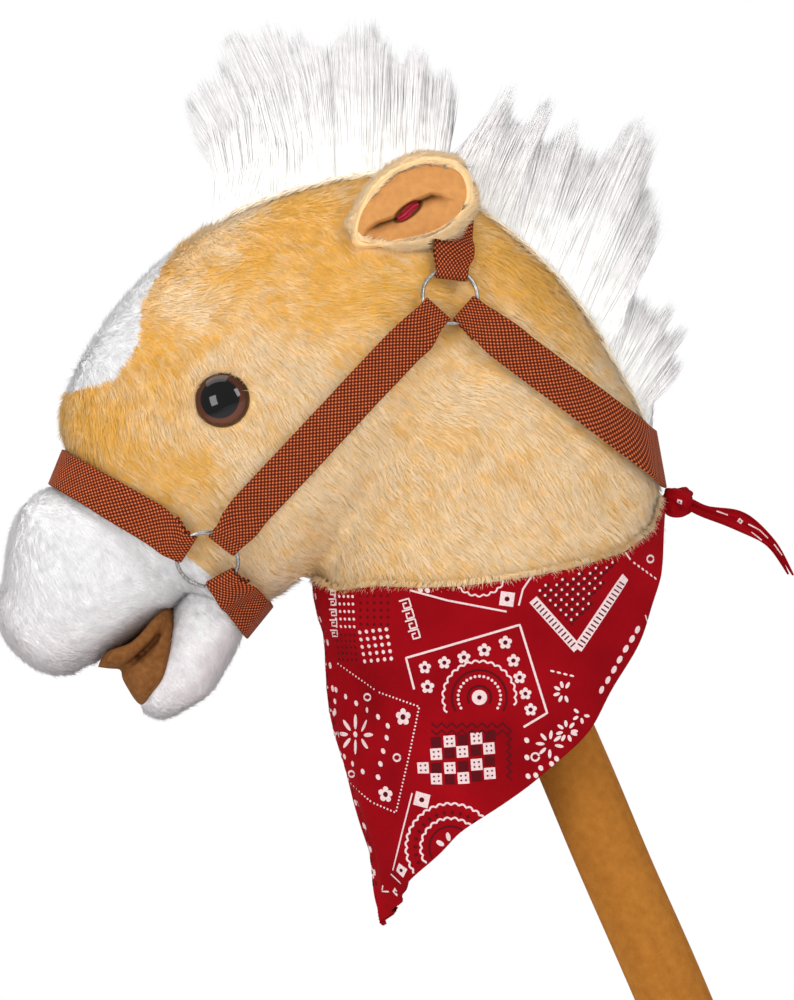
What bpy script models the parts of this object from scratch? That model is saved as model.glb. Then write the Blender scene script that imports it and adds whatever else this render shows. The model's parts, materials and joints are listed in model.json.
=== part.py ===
"""Hobby horse: a plush horse's head with a webbing halter and a neckerchief, on a foam-covered stick.

Metres, +Z up. The stick stands on the origin along Z. The head's pieces are drawn in the
head's own frame, whose origin is where the stick's axis enters the neck: x runs back from
the nose, y to the horse's right and z up. That frame leans on the stick by HEAD_TILT.
"""

import math

import bmesh
import bpy
from mathutils import Matrix, Vector
from mathutils.bvhtree import BVHTree

# Clearances
GAP = 0.0003
STRAP_CLEARANCE = 0.0010
CLOTH_CLEARANCE = 0.0040

# Stick
STICK_LENGTH = 0.640
HEAD_TILT = math.radians(23.3)
CORE_DIAMETER = 0.022
CORE_IN_HEAD = 0.115
SLEEVE_DIAMETER = 0.036
SLEEVE_IN_NECK = 0.030
TOP_CAP_WALL = 0.002
TOP_CAP_HEIGHT = 0.018
FOOT_CAP_WALL = 0.0022
FOOT_CAP_FLOOR = 0.004
FOOT_CAP_HEIGHT = 0.032

# Head, as sections of (under side x and z), (top side x and z) and half width
HEAD_SECTIONS = (
    ((-0.123, -0.015), (-0.216, 0.057), 0.047),
    ((-0.114, -0.010), (-0.2195, 0.088), 0.051),
    ((-0.103, -0.004), (-0.2045, 0.123), 0.056),
    ((-0.090, 0.006), (-0.173, 0.160), 0.060),
    ((-0.072, 0.022), (-0.132, 0.188), 0.061),
    ((-0.050, 0.045), (-0.085, 0.204), 0.059),
    ((-0.030, 0.080), (-0.046, 0.211), 0.052),
)
HEAD_FRONT_DOME = 0.012
HEAD_BACK_DOME = 0.032
HEAD_NARROWING = 0.14

# Neck, as sections of (throat side), (crest side) and half width; the last ends square to the stick
NECK_SECTIONS = (
    ((-0.054, 0.146), (-0.006, 0.190), 0.034),
    ((-0.068, 0.105), (0.034, 0.153), 0.050),
    ((-0.080, 0.062), (0.060, 0.113), 0.057),
    ((-0.088, 0.026), (0.078, 0.078), 0.060),
    ((-0.090, -0.002), (0.084, 0.042), 0.060),
    ((-0.082, -0.028), (0.083, 0.012), 0.057),
    ((-0.060, -0.050), (0.074, -0.014), 0.050),
)
NECK_TOP_DOME = 0.010
NECK_BELOW = 0.056
NECK_BOTTOM_RADIUS = 0.044

# Muzzle and lower jaw, as sections of (under side), (top side) and half width
MUZZLE_SECTIONS = (
    ((-0.141, 0.005), (-0.206, 0.060), 0.042),
    ((-0.152, -0.006), (-0.2175, 0.054), 0.047),
    ((-0.168, -0.020), (-0.2335, 0.046), 0.050),
    ((-0.188, -0.034), (-0.2435, 0.027), 0.048),
    ((-0.207, -0.042), (-0.2475, 0.001), 0.041),
)
MUZZLE_DOME = 0.019
JAW_SECTIONS = (
    ((-0.117, -0.006), (-0.146, 0.010), 0.030),
    ((-0.128, -0.031), (-0.159, -0.006), 0.036),
    ((-0.142, -0.054), (-0.168, -0.024), 0.037),
    ((-0.159, -0.065), (-0.175, -0.041), 0.033),
)
JAW_DOME = 0.014
MOUTH_SECTIONS = (
    ((-0.150, -0.006), (-0.158, 0.002), 0.033),
    ((-0.165, -0.034), (-0.176, -0.024), 0.036),
    ((-0.177, -0.053), (-0.188, -0.040), 0.033),
)
MOUTH_DOME = 0.003

# Blaze: the white panel's edge on the forehead, seen from the side, and its pile's thickness
BLAZE_EDGE = (
    (-0.150, 0.186),
    (-0.157, 0.171),
    (-0.1655, 0.1595),
    (-0.177, 0.140),
    (-0.178, 0.120),
    (-0.190, 0.103),
    (-0.210, 0.0975),
    (-0.240, 0.0970),
    (-0.240, 0.190),
)
BLAZE_THICKNESS = 0.004

# Ears: along their length, the half height and the half depth; then the hollow inside
EAR_CENTRE = (-0.041, 0.188)
EAR_SLOPE = math.radians(25.0)
EAR_OUTER = (
    (-0.030, 0.010, 0.007),
    (-0.018, 0.019, 0.011),
    (-0.002, 0.0245, 0.014),
    (0.014, 0.0240, 0.014),
    (0.027, 0.0165, 0.010),
)
EAR_OUTER_DOME = 0.006
EAR_HOLLOW = (
    (-0.025, 0.006, 0.010),
    (-0.014, 0.0125, 0.013),
    (0.000, 0.0165, 0.015),
    (0.014, 0.0150, 0.014),
    (0.023, 0.0085, 0.011),
)
EAR_HOLLOW_DOME = 0.004
EAR_HOLLOW_SHIFT = 0.0092
EAR_SINK = 0.005
EAR_LINING_THICKNESS = 0.0012
EAR_NOTCH_MARGIN = 0.004
EAR_NOTCH_ROOM = 0.0025
EAR_NOTCH_DEPTH = 0.45

# Eyes
EYE_CENTRE = (-0.1355, 0.092)
EYE_DIAMETER = 0.0275
EYE_HEIGHT = 0.0085
EYE_RIM = 0.0020
EYE_SEAT = 0.0025
EYE_SHANK_DIAMETER = 0.006
EYE_SHANK_LENGTH = 0.017
WASHER_DIAMETER = 0.020
WASHER_THICKNESS = 0.0016
WASHER_DEPTH = 0.009

# Halter
WEBBING_WIDTH = 0.020
WEBBING_THICKNESS = 0.0015
WEBBING_FOLD_WIDTH = 0.016
WEBBING_TAIL = 0.024
WEBBING_RISE = 0.036
WIRE_DIAMETER = 0.0020
WIRE_CLEARANCE = 0.0004
CHEEK_RING_CENTRE = (-0.024, 0.1415)
CHEEK_RING_DIAMETER = 0.0295
JAW_RING_CENTRE = (-0.142, 0.016)
JAW_RING_DIAMETER = 0.0325
NOSEBAND_MIDDLE = (-0.2175, 0.0575)
CHIN_STRAP_MIDDLE = (-0.120, -0.0155)
CROWN_MIDDLE = (-0.019, 0.216)
NECK_STRAP_MIDDLE = (0.085, 0.060)

# Mane and forelock: the line above each one's root, and the tips of its locks
FORELOCK_BASE = ((-0.142, 0.300), (-0.034, 0.300))
FORELOCK_INWARD = (0.0, -1.0)
FORELOCK_TIPS = (
    (-0.150, 0.222),
    (-0.157, 0.240),
    (-0.143, 0.252),
    (-0.137, 0.261),
    (-0.133, 0.270),
    (-0.130, 0.277),
    (-0.113, 0.263),
    (-0.107, 0.272),
    (-0.098, 0.279),
    (-0.084, 0.268),
    (-0.070, 0.282),
    (-0.062, 0.264),
    (-0.053, 0.272),
    (-0.046, 0.265),
    (-0.039, 0.267),
    (-0.031, 0.258),
    (-0.022, 0.255),
    (-0.026, 0.232),
)
MANE_BASE = ((0.061, 0.234), (0.124, 0.121))
MANE_INWARD = (-0.79, -0.61)
MANE_TIPS = (
    (0.003, 0.212),
    (0.010, 0.252),
    (0.018, 0.234),
    (0.026, 0.241),
    (0.033, 0.247),
    (0.039, 0.230),
    (0.054, 0.217),
    (0.071, 0.236),
    (0.080, 0.228),
    (0.078, 0.200),
    (0.083, 0.184),
    (0.073, 0.158),
    (0.081, 0.138),
    (0.093, 0.113),
    (0.080, 0.106),
)
MANE_HALF_WIDTH = 0.014
MANE_ROOT = 0.012

# Neckerchief
SCARF_CENTRE_X = -0.002
SCARF_HALF_LENGTH = 0.0885
SCARF_HALF_WIDTH = 0.0600
SCARF_FRONT_HEIGHT = 0.001
SCARF_BACK_HEIGHT = 0.045
SCARF_SIDE_DIP = 0.022
SCARF_HANG = (0.038, -0.177)
SCARF_NARROWING = 0.016
SCARF_THICKNESS = 0.0009
SCARF_WRAP = 0.925
SCARF_TIP = 0.965
SCARF_BELLY = 1.38
SCARF_FOLD_COUNT = 3.0
SCARF_FOLD_DEPTH = 0.0022
KNOT_CENTRE = (0.0955, 0.0425)
KNOT_RADII = (0.011, 0.0085, 0.0105)
TAIL_PATH = ((0.000, 0.000), (0.014, -0.003), (0.032, -0.012), (0.046, -0.024), (0.054, -0.038))
TAIL_HALF_WIDTHS = (0.0050, 0.0062, 0.0070, 0.0042, 0.0008)
TAIL_HALF_THICKNESS = 0.0016
TAIL_FULL_WIDTH = 0.003
TAIL_SPREAD = 0.45

# Neck base
PANEL_THICKNESS = 0.002
PANEL_COLLAR_HEIGHT = 0.018
PANEL_COLLAR_WALL = 0.0015
TIE_WIDTH = 0.0048
TIE_THICKNESS = 0.0013
TIE_LOCK_LENGTH = 0.008

# Sound unit
BUTTON_PLACE = (-0.043, 0.184)
BUTTON_LENGTH = 0.0165
BUTTON_WIDTH = 0.0068
BUTTON_THICKNESS = 0.003
BUTTON_TRAVEL = 0.002
BUTTON_LIFT = 0.0023
STEM_DIAMETER = 0.004
STEM_IN_BOX = 0.004
BOX_PLACE = (-0.043, 0.172)
BOX_DIAMETER = 0.030
BOX_THICKNESS = 0.012
BOX_DEPTH = 0.012

# Facets
LOBE_SIDES = 16
SPAN_STEPS = 2
DOME_STEPS = 3
EAR_DOME_STEPS = 2
TURN_STEPS = 20
RING_STEPS = 24
WIRE_SIDES = 6
FOLD_STEPS = 5
STRAP_STEPS = 22
SCARF_COLUMNS = 26
SCARF_ROWS = 10
SQUARENESS = 2.25

ACROSS = Vector((0.0, 1.0, 0.0))
FAR = 0.5


def start_scene():
    """An empty scene with a collection for the parts and one for the cutters."""
    for old in list(bpy.data.objects):
        bpy.data.objects.remove(old)
    for name in ("hobby_horse", "cutters"):
        bpy.context.scene.collection.children.link(bpy.data.collections.new(name))


def material(name, colour, roughness, metallic=0.0):
    """A Principled material of one colour."""
    made = bpy.data.materials.new(name)
    made.use_nodes = True
    shader = made.node_tree.nodes["Principled BSDF"]
    shader.inputs["Base Color"].default_value = (*colour, 1.0)
    shader.inputs["Roughness"].default_value = roughness
    shader.inputs["Metallic"].default_value = metallic
    return made


def add_object(name, mesh, finish, parent=None):
    """A part with its material, or a cutter where there is none."""
    thing = bpy.data.objects.new(name, mesh)
    if finish is None:
        bpy.data.collections["cutters"].objects.link(thing)
        thing.hide_render = True
        thing.display_type = "WIRE"
    else:
        bpy.data.collections["hobby_horse"].objects.link(thing)
        mesh.materials.append(finish)
    thing.parent = parent
    return thing


def mesh_of(name, form, smooth_angle=40.0):
    """A mesh from a finished bmesh, with its faces out and its round sides smooth."""
    bmesh.ops.recalc_face_normals(form, faces=form.faces)
    mesh = bpy.data.meshes.new(name)
    form.to_mesh(mesh)
    form.free()
    mesh.shade_smooth()
    mesh.set_sharp_from_angle(angle=math.radians(smooth_angle))
    return mesh


def profile_point(pair):
    """A point of the head's middle plane from its (x, z)."""
    return Vector((pair[0], 0.0, pair[1]))


def smoothstep(value):
    value = min(max(value, 0.0), 1.0)
    return value * value * (3.0 - 2.0 * value)


def smooth_between(rows, steps):
    """Rows of numbers with steps to each span, on a curve through the given ones."""
    found = []
    last = len(rows) - 1
    for index in range(last):
        before = rows[max(index - 1, 0)]
        here = rows[index]
        there = rows[index + 1]
        after = rows[min(index + 2, last)]
        for step in range(steps):
            t = step / steps
            found.append(
                tuple(
                    0.5
                    * (
                        2.0 * q
                        + (r - p) * t
                        + (2.0 * p - 5.0 * q + 4.0 * r - s) * t * t
                        + (3.0 * q - p - 3.0 * r + s) * t * t * t
                    )
                    for p, q, r, s in zip(before, here, there, after)
                )
            )
    found.append(tuple(rows[last]))
    return found


def boolean(target, cutter, operation="DIFFERENCE"):
    """Cuts, joins or trims the target by the cutter, with the exact solver."""
    modifier = target.modifiers.new(operation.lower(), "BOOLEAN")
    modifier.operation = operation
    modifier.object = cutter
    modifier.solver = "EXACT"


def lofted(name, rings, start_pole=None, end_pole=None):
    """A closed mesh through rings of points, ending in a pole or a flat face."""
    form = bmesh.new()
    rows = [[form.verts.new(point) for point in ring] for ring in rings]
    count = len(rows[0])
    for here, there in zip(rows, rows[1:]):
        for side in range(count):
            beside = (side + 1) % count
            form.faces.new((here[side], here[beside], there[beside], there[side]))
    for row, pole in ((rows[0], start_pole), (rows[-1], end_pole)):
        if pole is None:
            form.faces.new(row)
            continue
        tip = form.verts.new(pole)
        for side in range(count):
            form.faces.new((row[side], row[(side + 1) % count], tip))
    bmesh.ops.triangulate(form, faces=form.faces[:], quad_method="FIXED")
    return mesh_of(name, form)


def lobe(name, sections, start_dome, end_dome, grow=0.0, centre_y=0.0, narrowing=0.0, dome_steps=DOME_STEPS):
    """A stuffed form that swells and tapers through its sections, with domed or flat ends."""
    flat_rows = [(*under, *top, half) for under, top, half in sections]
    rings = []
    centres = []
    for x_under, z_under, x_top, z_top, half in smooth_between(flat_rows, SPAN_STEPS):
        under = Vector((x_under, centre_y, z_under))
        top = Vector((x_top, centre_y, z_top))
        centre = (under + top) / 2.0
        upward = (top - under).normalized()
        height = (top - under).length / 2.0 + grow
        ring = []
        for side in range(LOBE_SIDES):
            angle = math.tau * side / LOBE_SIDES
            rise = math.copysign(abs(math.cos(angle)) ** (2.0 / SQUARENESS), math.cos(angle))
            out = math.copysign(abs(math.sin(angle)) ** (2.0 / SQUARENESS), math.sin(angle))
            width = (half + grow) * (1.0 - narrowing * rise)
            ring.append(centre + upward * height * rise + ACROSS * width * out)
        rings.append(ring)
        centres.append((centre, upward))
    poles = []
    for index, beside, dome in ((0, 1, start_dome), (-1, -2, end_dome)):
        centre, upward = centres[index]
        outward = upward.cross(ACROSS)
        if outward.dot(centre - centres[beside][0]) < 0.0:
            outward.negate()
        if dome == 0.0:
            rings[index] = [point + outward * grow for point in rings[index]]
            poles.append(None)
            continue
        depth = dome + grow
        end_ring = rings[index]
        domed = []
        for step in range(1, dome_steps + 1):
            turn = math.pi / 2.0 * step / (dome_steps + 1)
            domed.append(
                [
                    centre + (point - centre) * math.cos(turn) + outward * depth * math.sin(turn)
                    for point in end_ring
                ]
            )
        rings = domed[::-1] + rings if index == 0 else rings + domed
        poles.append(centre + outward * depth)
    return lofted(name, rings, *poles)


def turned(name, profile, parent, finish, steps=TURN_STEPS):
    """A turned piece: a profile of (radius, height) from top to bottom, spun about its own Z."""
    mesh = bpy.data.meshes.new(name)
    points = [(radius, 0.0, height) for radius, height in profile]
    edges = [(index, index + 1) for index in range(len(points) - 1)]
    if profile[0][0] > 0.0:
        edges.append((len(points) - 1, 0))
    mesh.from_pydata(points, edges, [])
    thing = add_object(name, mesh, finish, parent)
    spin = thing.modifiers.new("spin", "SCREW")
    spin.axis = "Z"
    spin.steps = steps
    spin.render_steps = steps
    spin.use_merge_vertices = True
    spin.merge_threshold = 0.00001
    spin.use_smooth_shade = True
    return thing


def first_hit(skin, outside, inward):
    """Where a straight line from outside first meets the plush."""
    place = skin.ray_cast(outside, inward)[0]
    if place is None:
        place = skin.find_nearest(outside + inward * FAR)[0]
    return place


def plush_skin(meshes):
    """The plush forms together, to find where things lie on them."""
    points = []
    faces = []
    for mesh in meshes:
        start = len(points)
        points.extend(vertex.co.copy() for vertex in mesh.vertices)
        faces.extend([start + index for index in face.vertices] for face in mesh.polygons)
    return BVHTree.FromPolygons(points, faces)


def side_seat(skin, place, radius, sign):
    """The level and outward direction on which something flat lies on one side of the head."""
    outside = Vector((place[0], sign * FAR, place[1]))
    found = []
    for share in (0.0, 0.4, 0.7, 1.0):
        for step in range(8):
            angle = math.tau * step / 8
            offset = Vector((math.cos(angle), 0.0, math.sin(angle))) * radius * share
            found.append(first_hit(skin, outside + offset, ACROSS * -sign))
    around = found[-8:]
    outward = Vector((0.0, 0.0, 0.0))
    for index, point in enumerate(around):
        outward += (around[(index + 1) % 8] - around[0]).cross(point - around[0])
    outward.normalize()
    if outward.y * sign < 0.0:
        outward.negate()
    level = max((point - found[0]).dot(outward) for point in found)
    return found[0] + outward * level, outward


def girth(skin, middle, ring_place, shift, turn):
    """One edge of a strap that goes round the head from ring to ring, pulled taut."""
    to_middle = profile_point(middle) - profile_point(ring_place)
    toward = to_middle.normalized()
    beside = toward.cross(ACROSS)
    centre = profile_point(ring_place) + to_middle * turn + beside * shift
    start = first_hit(skin, Vector((ring_place[0], -FAR, ring_place[1])), ACROSS)
    limit = math.atan2(-start.y, (start - centre).dot(toward))
    angles = [limit * (2.0 * step / STRAP_STEPS - 1.0) for step in range(STRAP_STEPS + 1)]
    radii = []
    for angle in angles:
        reach = 0.0
        for part in (-0.66, -0.33, 0.0, 0.33, 0.66):
            turned_by = min(max(angle + part * limit * 2.0 / STRAP_STEPS, -limit), limit)
            outward = toward * math.cos(turned_by) + ACROSS * math.sin(turned_by)
            reach = max(reach, (first_hit(skin, centre + outward * FAR, -outward) - centre).length)
        radii.append(reach)
    bend = math.cos(limit * 2.0 / STRAP_STEPS)
    for _ in range(STRAP_STEPS):
        for index in range(1, STRAP_STEPS):
            before = radii[index - 1]
            after = radii[index + 1]
            radii[index] = max(radii[index], 2.0 * before * after * bend / (before + after))
    return [
        centre + (toward * math.cos(angle) + ACROSS * math.sin(angle)) * (radius + STRAP_CLEARANCE)
        for angle, radius in zip(angles, radii)
    ]


def side_line(skin, start, end, shift, sign):
    """One edge of a strap along one side of the head, from ring to ring, pulled taut."""
    run = profile_point(end) - profile_point(start)
    beside = run.normalized().cross(ACROSS)
    steps = STRAP_STEPS
    places = []
    heights = []
    for step in range(steps + 1):
        place = profile_point(start) + run * step / steps + beside * shift
        places.append(place)
        height = 0.0
        for part in (-0.5, 0.0, 0.5):
            outside = place + run * part / steps + ACROSS * sign * FAR
            height = max(height, first_hit(skin, outside, ACROSS * -sign).y * sign)
        heights.append(height)
    for _ in range(steps):
        for index in range(1, steps):
            heights[index] = max(heights[index], (heights[index - 1] + heights[index + 1]) / 2.0)
    return [
        place + ACROSS * sign * (height + STRAP_CLEARANCE) for place, height in zip(places, heights)
    ]


def ring_seat(skin, place, diameter, sign):
    """Centre and axis of a halter ring, raised to let a webbing end pass below its wire."""
    radius = (diameter - WIRE_DIAMETER) / 2.0
    seat, outward = side_seat(skin, place, WEBBING_TAIL, sign)
    lift = STRAP_CLEARANCE + WEBBING_THICKNESS + WIRE_CLEARANCE + WIRE_DIAMETER / 2.0
    return seat + outward * lift, outward, radius


def lifted_clear(skin, rows):
    """The rows, each raised where the plush between it and its neighbours would touch it."""
    half = WEBBING_THICKNESS / 2.0
    raised = []
    for index, (left, middle, right, outward) in enumerate(rows):
        lift = 0.0
        for other in rows[max(index - 1, 0) : index + 2]:
            for along in (0.0, 0.25, 0.5):
                for across in (0.0, 0.25, 0.5, 0.75, 1.0):
                    here = left.lerp(right, across).lerp(other[0].lerp(other[2], across), along)
                    under = here - outward * half
                    hit = skin.ray_cast(under + outward * WEBBING_RISE, -outward)[0]
                    if hit is not None:
                        lift = max(lift, (hit - under).dot(outward) + STRAP_CLEARANCE / 2.0)
        move = outward * lift
        raised.append((left + move, middle + move, right + move, outward))
    return raised


def strap_rows(skin, edges):
    """Rows of (left, middle, right, outward) at the middle of the webbing's thickness."""
    left, middle, right = edges
    rows = []
    inside = sum(middle, Vector()) / len(middle)
    for index, point in enumerate(middle):
        ahead = middle[min(index + 1, len(middle) - 1)] - middle[max(index - 1, 0)]
        outward = ahead.cross(right[index] - left[index]).normalized()
        if outward.dot(point - Vector((inside.x, 0.0, inside.z))) < 0.0:
            outward.negate()
        lift = outward * WEBBING_THICKNESS / 2.0
        rows.append((left[index] + lift, point + lift, right[index] + lift, outward))
    return lifted_clear(skin, rows)


def distance_along(row, ring):
    """How far a row's middle lies from a ring's centre."""
    return (row[1] - ring[0]).length


def folded_end(rows, ring):
    """One strap end: the rows of its tail and of the fold round the wire, and those above them."""
    centre, outward, radius = ring
    pocket = (WIRE_DIAMETER + WEBBING_THICKNESS) / 2.0 + WIRE_CLEARANCE
    fold = math.sqrt(radius**2 - (WEBBING_FOLD_WIDTH / 2.0) ** 2)
    leaves_plane = radius + WIRE_DIAMETER
    near = [row for row in rows[1:] if leaves_plane < distance_along(row, ring) < WEBBING_RISE]
    toward = near[0][1] - centre
    toward = (toward - outward * toward.dot(outward)).normalized()
    beside = outward.cross(toward)
    if beside.dot(rows[0][2] - rows[0][0]) < 0.0:
        beside.negate()

    def flat_row(along, height, normal, width=WEBBING_FOLD_WIDTH):
        point = centre + toward * along + outward * height
        return (point - beside * width / 2.0, point, point + beside * width / 2.0, normal)

    def layer_row(row, level):
        along = distance_along(row, ring)
        share = smoothstep((along - leaves_plane) / (WEBBING_TAIL - leaves_plane))
        drop = smoothstep((along - WEBBING_TAIL) / (WEBBING_RISE - WEBBING_TAIL))
        width = WEBBING_FOLD_WIDTH + (WEBBING_WIDTH - WEBBING_FOLD_WIDTH) * share
        raised = row[3] * pocket * (1.0 + level) * (1.0 - drop)
        plane = flat_row(along, pocket * level, outward, width)
        mixed = [a.lerp(b + raised, share) for a, b in zip(plane[:3], row[:3])]
        return (*mixed, outward.lerp(row[3], share).normalized())

    under = []
    for row in reversed(near):
        if distance_along(row, ring) < WEBBING_TAIL:
            left, middle, right, normal = layer_row(row, -1.0)
            under.append((left, middle, right, -normal))
    under.append(flat_row(leaves_plane, -pocket, -outward))
    for step in range(FOLD_STEPS + 1):
        turn = math.pi * step / FOLD_STEPS
        normal = -outward * math.cos(turn) - toward * math.sin(turn)
        under.append(flat_row(fold - pocket * math.sin(turn), -pocket * math.cos(turn), normal))
    over = [flat_row(leaves_plane, pocket, outward)]
    over.extend(layer_row(row, 1.0) for row in near)
    return under, over


def strap_path(rows, rings):
    """A strap's rows from fold to fold, between the rows of its two folded ends."""
    flat = [row for row in rows if min(distance_along(row, ring) for ring in rings) > WEBBING_RISE]
    under_first, over_first = folded_end(rows, rings[0])
    under_last, over_last = folded_end(rows[::-1], rings[1])
    return under_first, over_first + flat + over_last[::-1], under_last[::-1]


def strap_mesh(name, rows, rings):
    """A strap of webbing, folded round a ring's wire at each end."""
    first, run, last = strap_path(rows, rings)
    loops = []
    for left, middle, right, outward in first + run + last:
        half = outward * WEBBING_THICKNESS / 2.0
        loops.append([left - half, middle - half, right - half, right + half, middle + half, left + half])
    return lofted(name, loops)


def ear_notch(rows, rings):
    """The room under both ears for the crown strap, from deep in the head out past the webbing."""
    inside = profile_point(CHEEK_RING_CENTRE)
    loops = []
    for left, middle, right, outward in strap_path(rows, rings)[1]:
        beside = (right - left).normalized() * EAR_NOTCH_MARGIN
        high = outward * (WEBBING_THICKNESS / 2.0 + EAR_NOTCH_ROOM)
        top = [left - beside + high, middle + high, right + beside + high]
        deep = [point.lerp(Vector((point.x, 0.0, inside.z)), EAR_NOTCH_DEPTH) for point in top]
        loops.append(deep + top[::-1])
    return lofted("ear_notch", loops)


def lock_curtain(name, skin, base, inward, tips):
    """A long-pile strip: a blade through every lock's root and tip, thin at the tips."""
    start, end = (profile_point(pair) for pair in base)
    way = profile_point(inward).normalized()
    loops = []
    for index, place in enumerate(tips):
        outside = start.lerp(end, index / (len(tips) - 1))
        root = first_hit(skin, outside, way) + way * MANE_ROOT
        tip = profile_point(place)
        shape = ((0.0, 1.0), (0.35, 0.86), (0.70, 0.50), (1.0, 0.12))
        left = [root.lerp(tip, along) - ACROSS * MANE_HALF_WIDTH * wide for along, wide in shape]
        right = [root.lerp(tip, along) + ACROSS * MANE_HALF_WIDTH * wide for along, wide in shape]
        loops.append(left + right[::-1])
    return lofted(name, loops)


def scarf_point(skin, wrap, drop):
    """A point of the neckerchief, from its share of the way round and of the way down."""
    angle = math.pi * wrap
    mid_height = (SCARF_FRONT_HEIGHT + SCARF_BACK_HEIGHT) / 2.0
    rise = (SCARF_BACK_HEIGHT - SCARF_FRONT_HEIGHT) / 2.0
    height = mid_height - rise * math.cos(angle) - SCARF_SIDE_DIP * math.sin(angle) ** 2
    half_width = SCARF_HALF_WIDTH - SCARF_NARROWING * drop
    centre = Vector((SCARF_CENTRE_X, 0.0, height)) + profile_point(SCARF_HANG) * drop
    offset = Vector((-SCARF_HALF_LENGTH * math.cos(angle), half_width * math.sin(angle), 0.0))
    outward = offset.normalized()
    fold = SCARF_FOLD_DEPTH * math.sin(SCARF_FOLD_COUNT * math.tau * abs(wrap) + 7.0 * drop)
    reach = offset.length + fold * smoothstep(drop * 3.0)
    hit = skin.ray_cast(centre + outward * FAR, -outward)[0]
    if hit is not None and (hit - centre).dot(outward) > 0.0:
        reach = max(reach, (hit - centre).length + CLOTH_CLEARANCE)
    return centre + outward * reach


def build_stick(finishes):
    """Dowel, foam sleeve, foot cap and top cap, all on the Z axis; and the space that they need."""
    core = CORE_DIAMETER / 2.0
    sleeve = SLEEVE_DIAMETER / 2.0
    foot = sleeve + GAP + FOOT_CAP_WALL
    edge = 0.0015
    core_top = STICK_LENGTH + CORE_IN_HEAD
    sleeve_top = STICK_LENGTH - NECK_BELOW + SLEEVE_IN_NECK
    low = FOOT_CAP_FLOOR + GAP
    turned("stick_core", [
        (0.0, core_top), (core - edge, core_top), (core, core_top - edge),
        (core, low + edge), (core - edge, low), (0.0, low),
    ], None, finishes["wood"])
    bore = core + GAP
    turned("foam_sleeve", [
        (bore, sleeve_top), (sleeve, sleeve_top), (sleeve, STICK_LENGTH / 2.0),
        (sleeve, low), (bore, low),
    ], None, finishes["foam"])
    turned("foot_cap", [
        (0.0, FOOT_CAP_FLOOR), (sleeve + GAP, FOOT_CAP_FLOOR), (sleeve + GAP, FOOT_CAP_HEIGHT),
        (foot - edge / 2.0, FOOT_CAP_HEIGHT), (foot, FOOT_CAP_HEIGHT - edge / 2.0),
        (foot, 2.0 * edge), (foot - edge / 2.0, edge / 2.0), (foot - 2.0 * edge, 0.0), (0.0, 0.0),
    ], None, finishes["cap"])
    cap = core + GAP + TOP_CAP_WALL
    cap_top = core_top + GAP + TOP_CAP_WALL
    cap_low = cap_top - TOP_CAP_HEIGHT
    turned("top_cap", [
        (0.0, cap_top), (cap - 2.0 * edge, cap_top), (cap, cap_top - 2.0 * edge), (cap, cap_low),
        (core + GAP, cap_low), (core + GAP, core_top + GAP), (0.0, core_top + GAP),
    ], None, finishes["cap"])
    return turned("stick_space", [
        (0.0, cap_top + GAP), (cap + GAP, cap_top + GAP), (cap + GAP, cap_low - GAP),
        (core + GAP, cap_low - GAP), (core + GAP, sleeve_top + GAP),
        (sleeve + GAP, sleeve_top + GAP), (sleeve + GAP, low), (0.0, low),
    ], None, None)


def build_neck_base(finishes):
    """The panel that closes the neck round the sleeve, and the tie on its collar."""
    sleeve = SLEEVE_DIAMETER / 2.0 + GAP
    collar = sleeve + PANEL_COLLAR_WALL
    top = STICK_LENGTH - NECK_BELOW - GAP
    under = top - PANEL_THICKNESS
    rim = NECK_BOTTOM_RADIUS - PANEL_THICKNESS
    turned("neck_base_panel", [
        (sleeve, top), (rim, top), (rim + PANEL_THICKNESS / 2.0, top - PANEL_THICKNESS / 2.0),
        (rim, under), (collar + PANEL_THICKNESS, under), (collar, under - PANEL_THICKNESS),
        (collar, under - PANEL_COLLAR_HEIGHT), (sleeve, under - PANEL_COLLAR_HEIGHT),
    ], None, finishes["plush_tan"])
    inner = collar + GAP
    outer = inner + TIE_THICKNESS
    middle = under - PANEL_COLLAR_HEIGHT * 0.6
    tie = turned("neck_tie", [
        (inner, middle + TIE_WIDTH / 2.0), (outer, middle + TIE_WIDTH / 2.0),
        (outer, middle - TIE_WIDTH / 2.0), (inner, middle - TIE_WIDTH / 2.0),
    ], None, finishes["cap"])
    lock = bmesh.new()
    size = (TIE_LOCK_LENGTH * 0.6, TIE_LOCK_LENGTH, TIE_WIDTH * 1.3)
    bmesh.ops.create_cube(lock, size=1.0, matrix=Matrix.Diagonal((*size, 1.0)))
    place = Vector((-outer - size[0] / 2.0 + TIE_THICKNESS / 2.0, 0.0, middle))
    bmesh.ops.translate(lock, verts=lock.verts, vec=place)
    boolean(tie, add_object("tie_lock", mesh_of("tie_lock", lock), None), "UNION")


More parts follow.
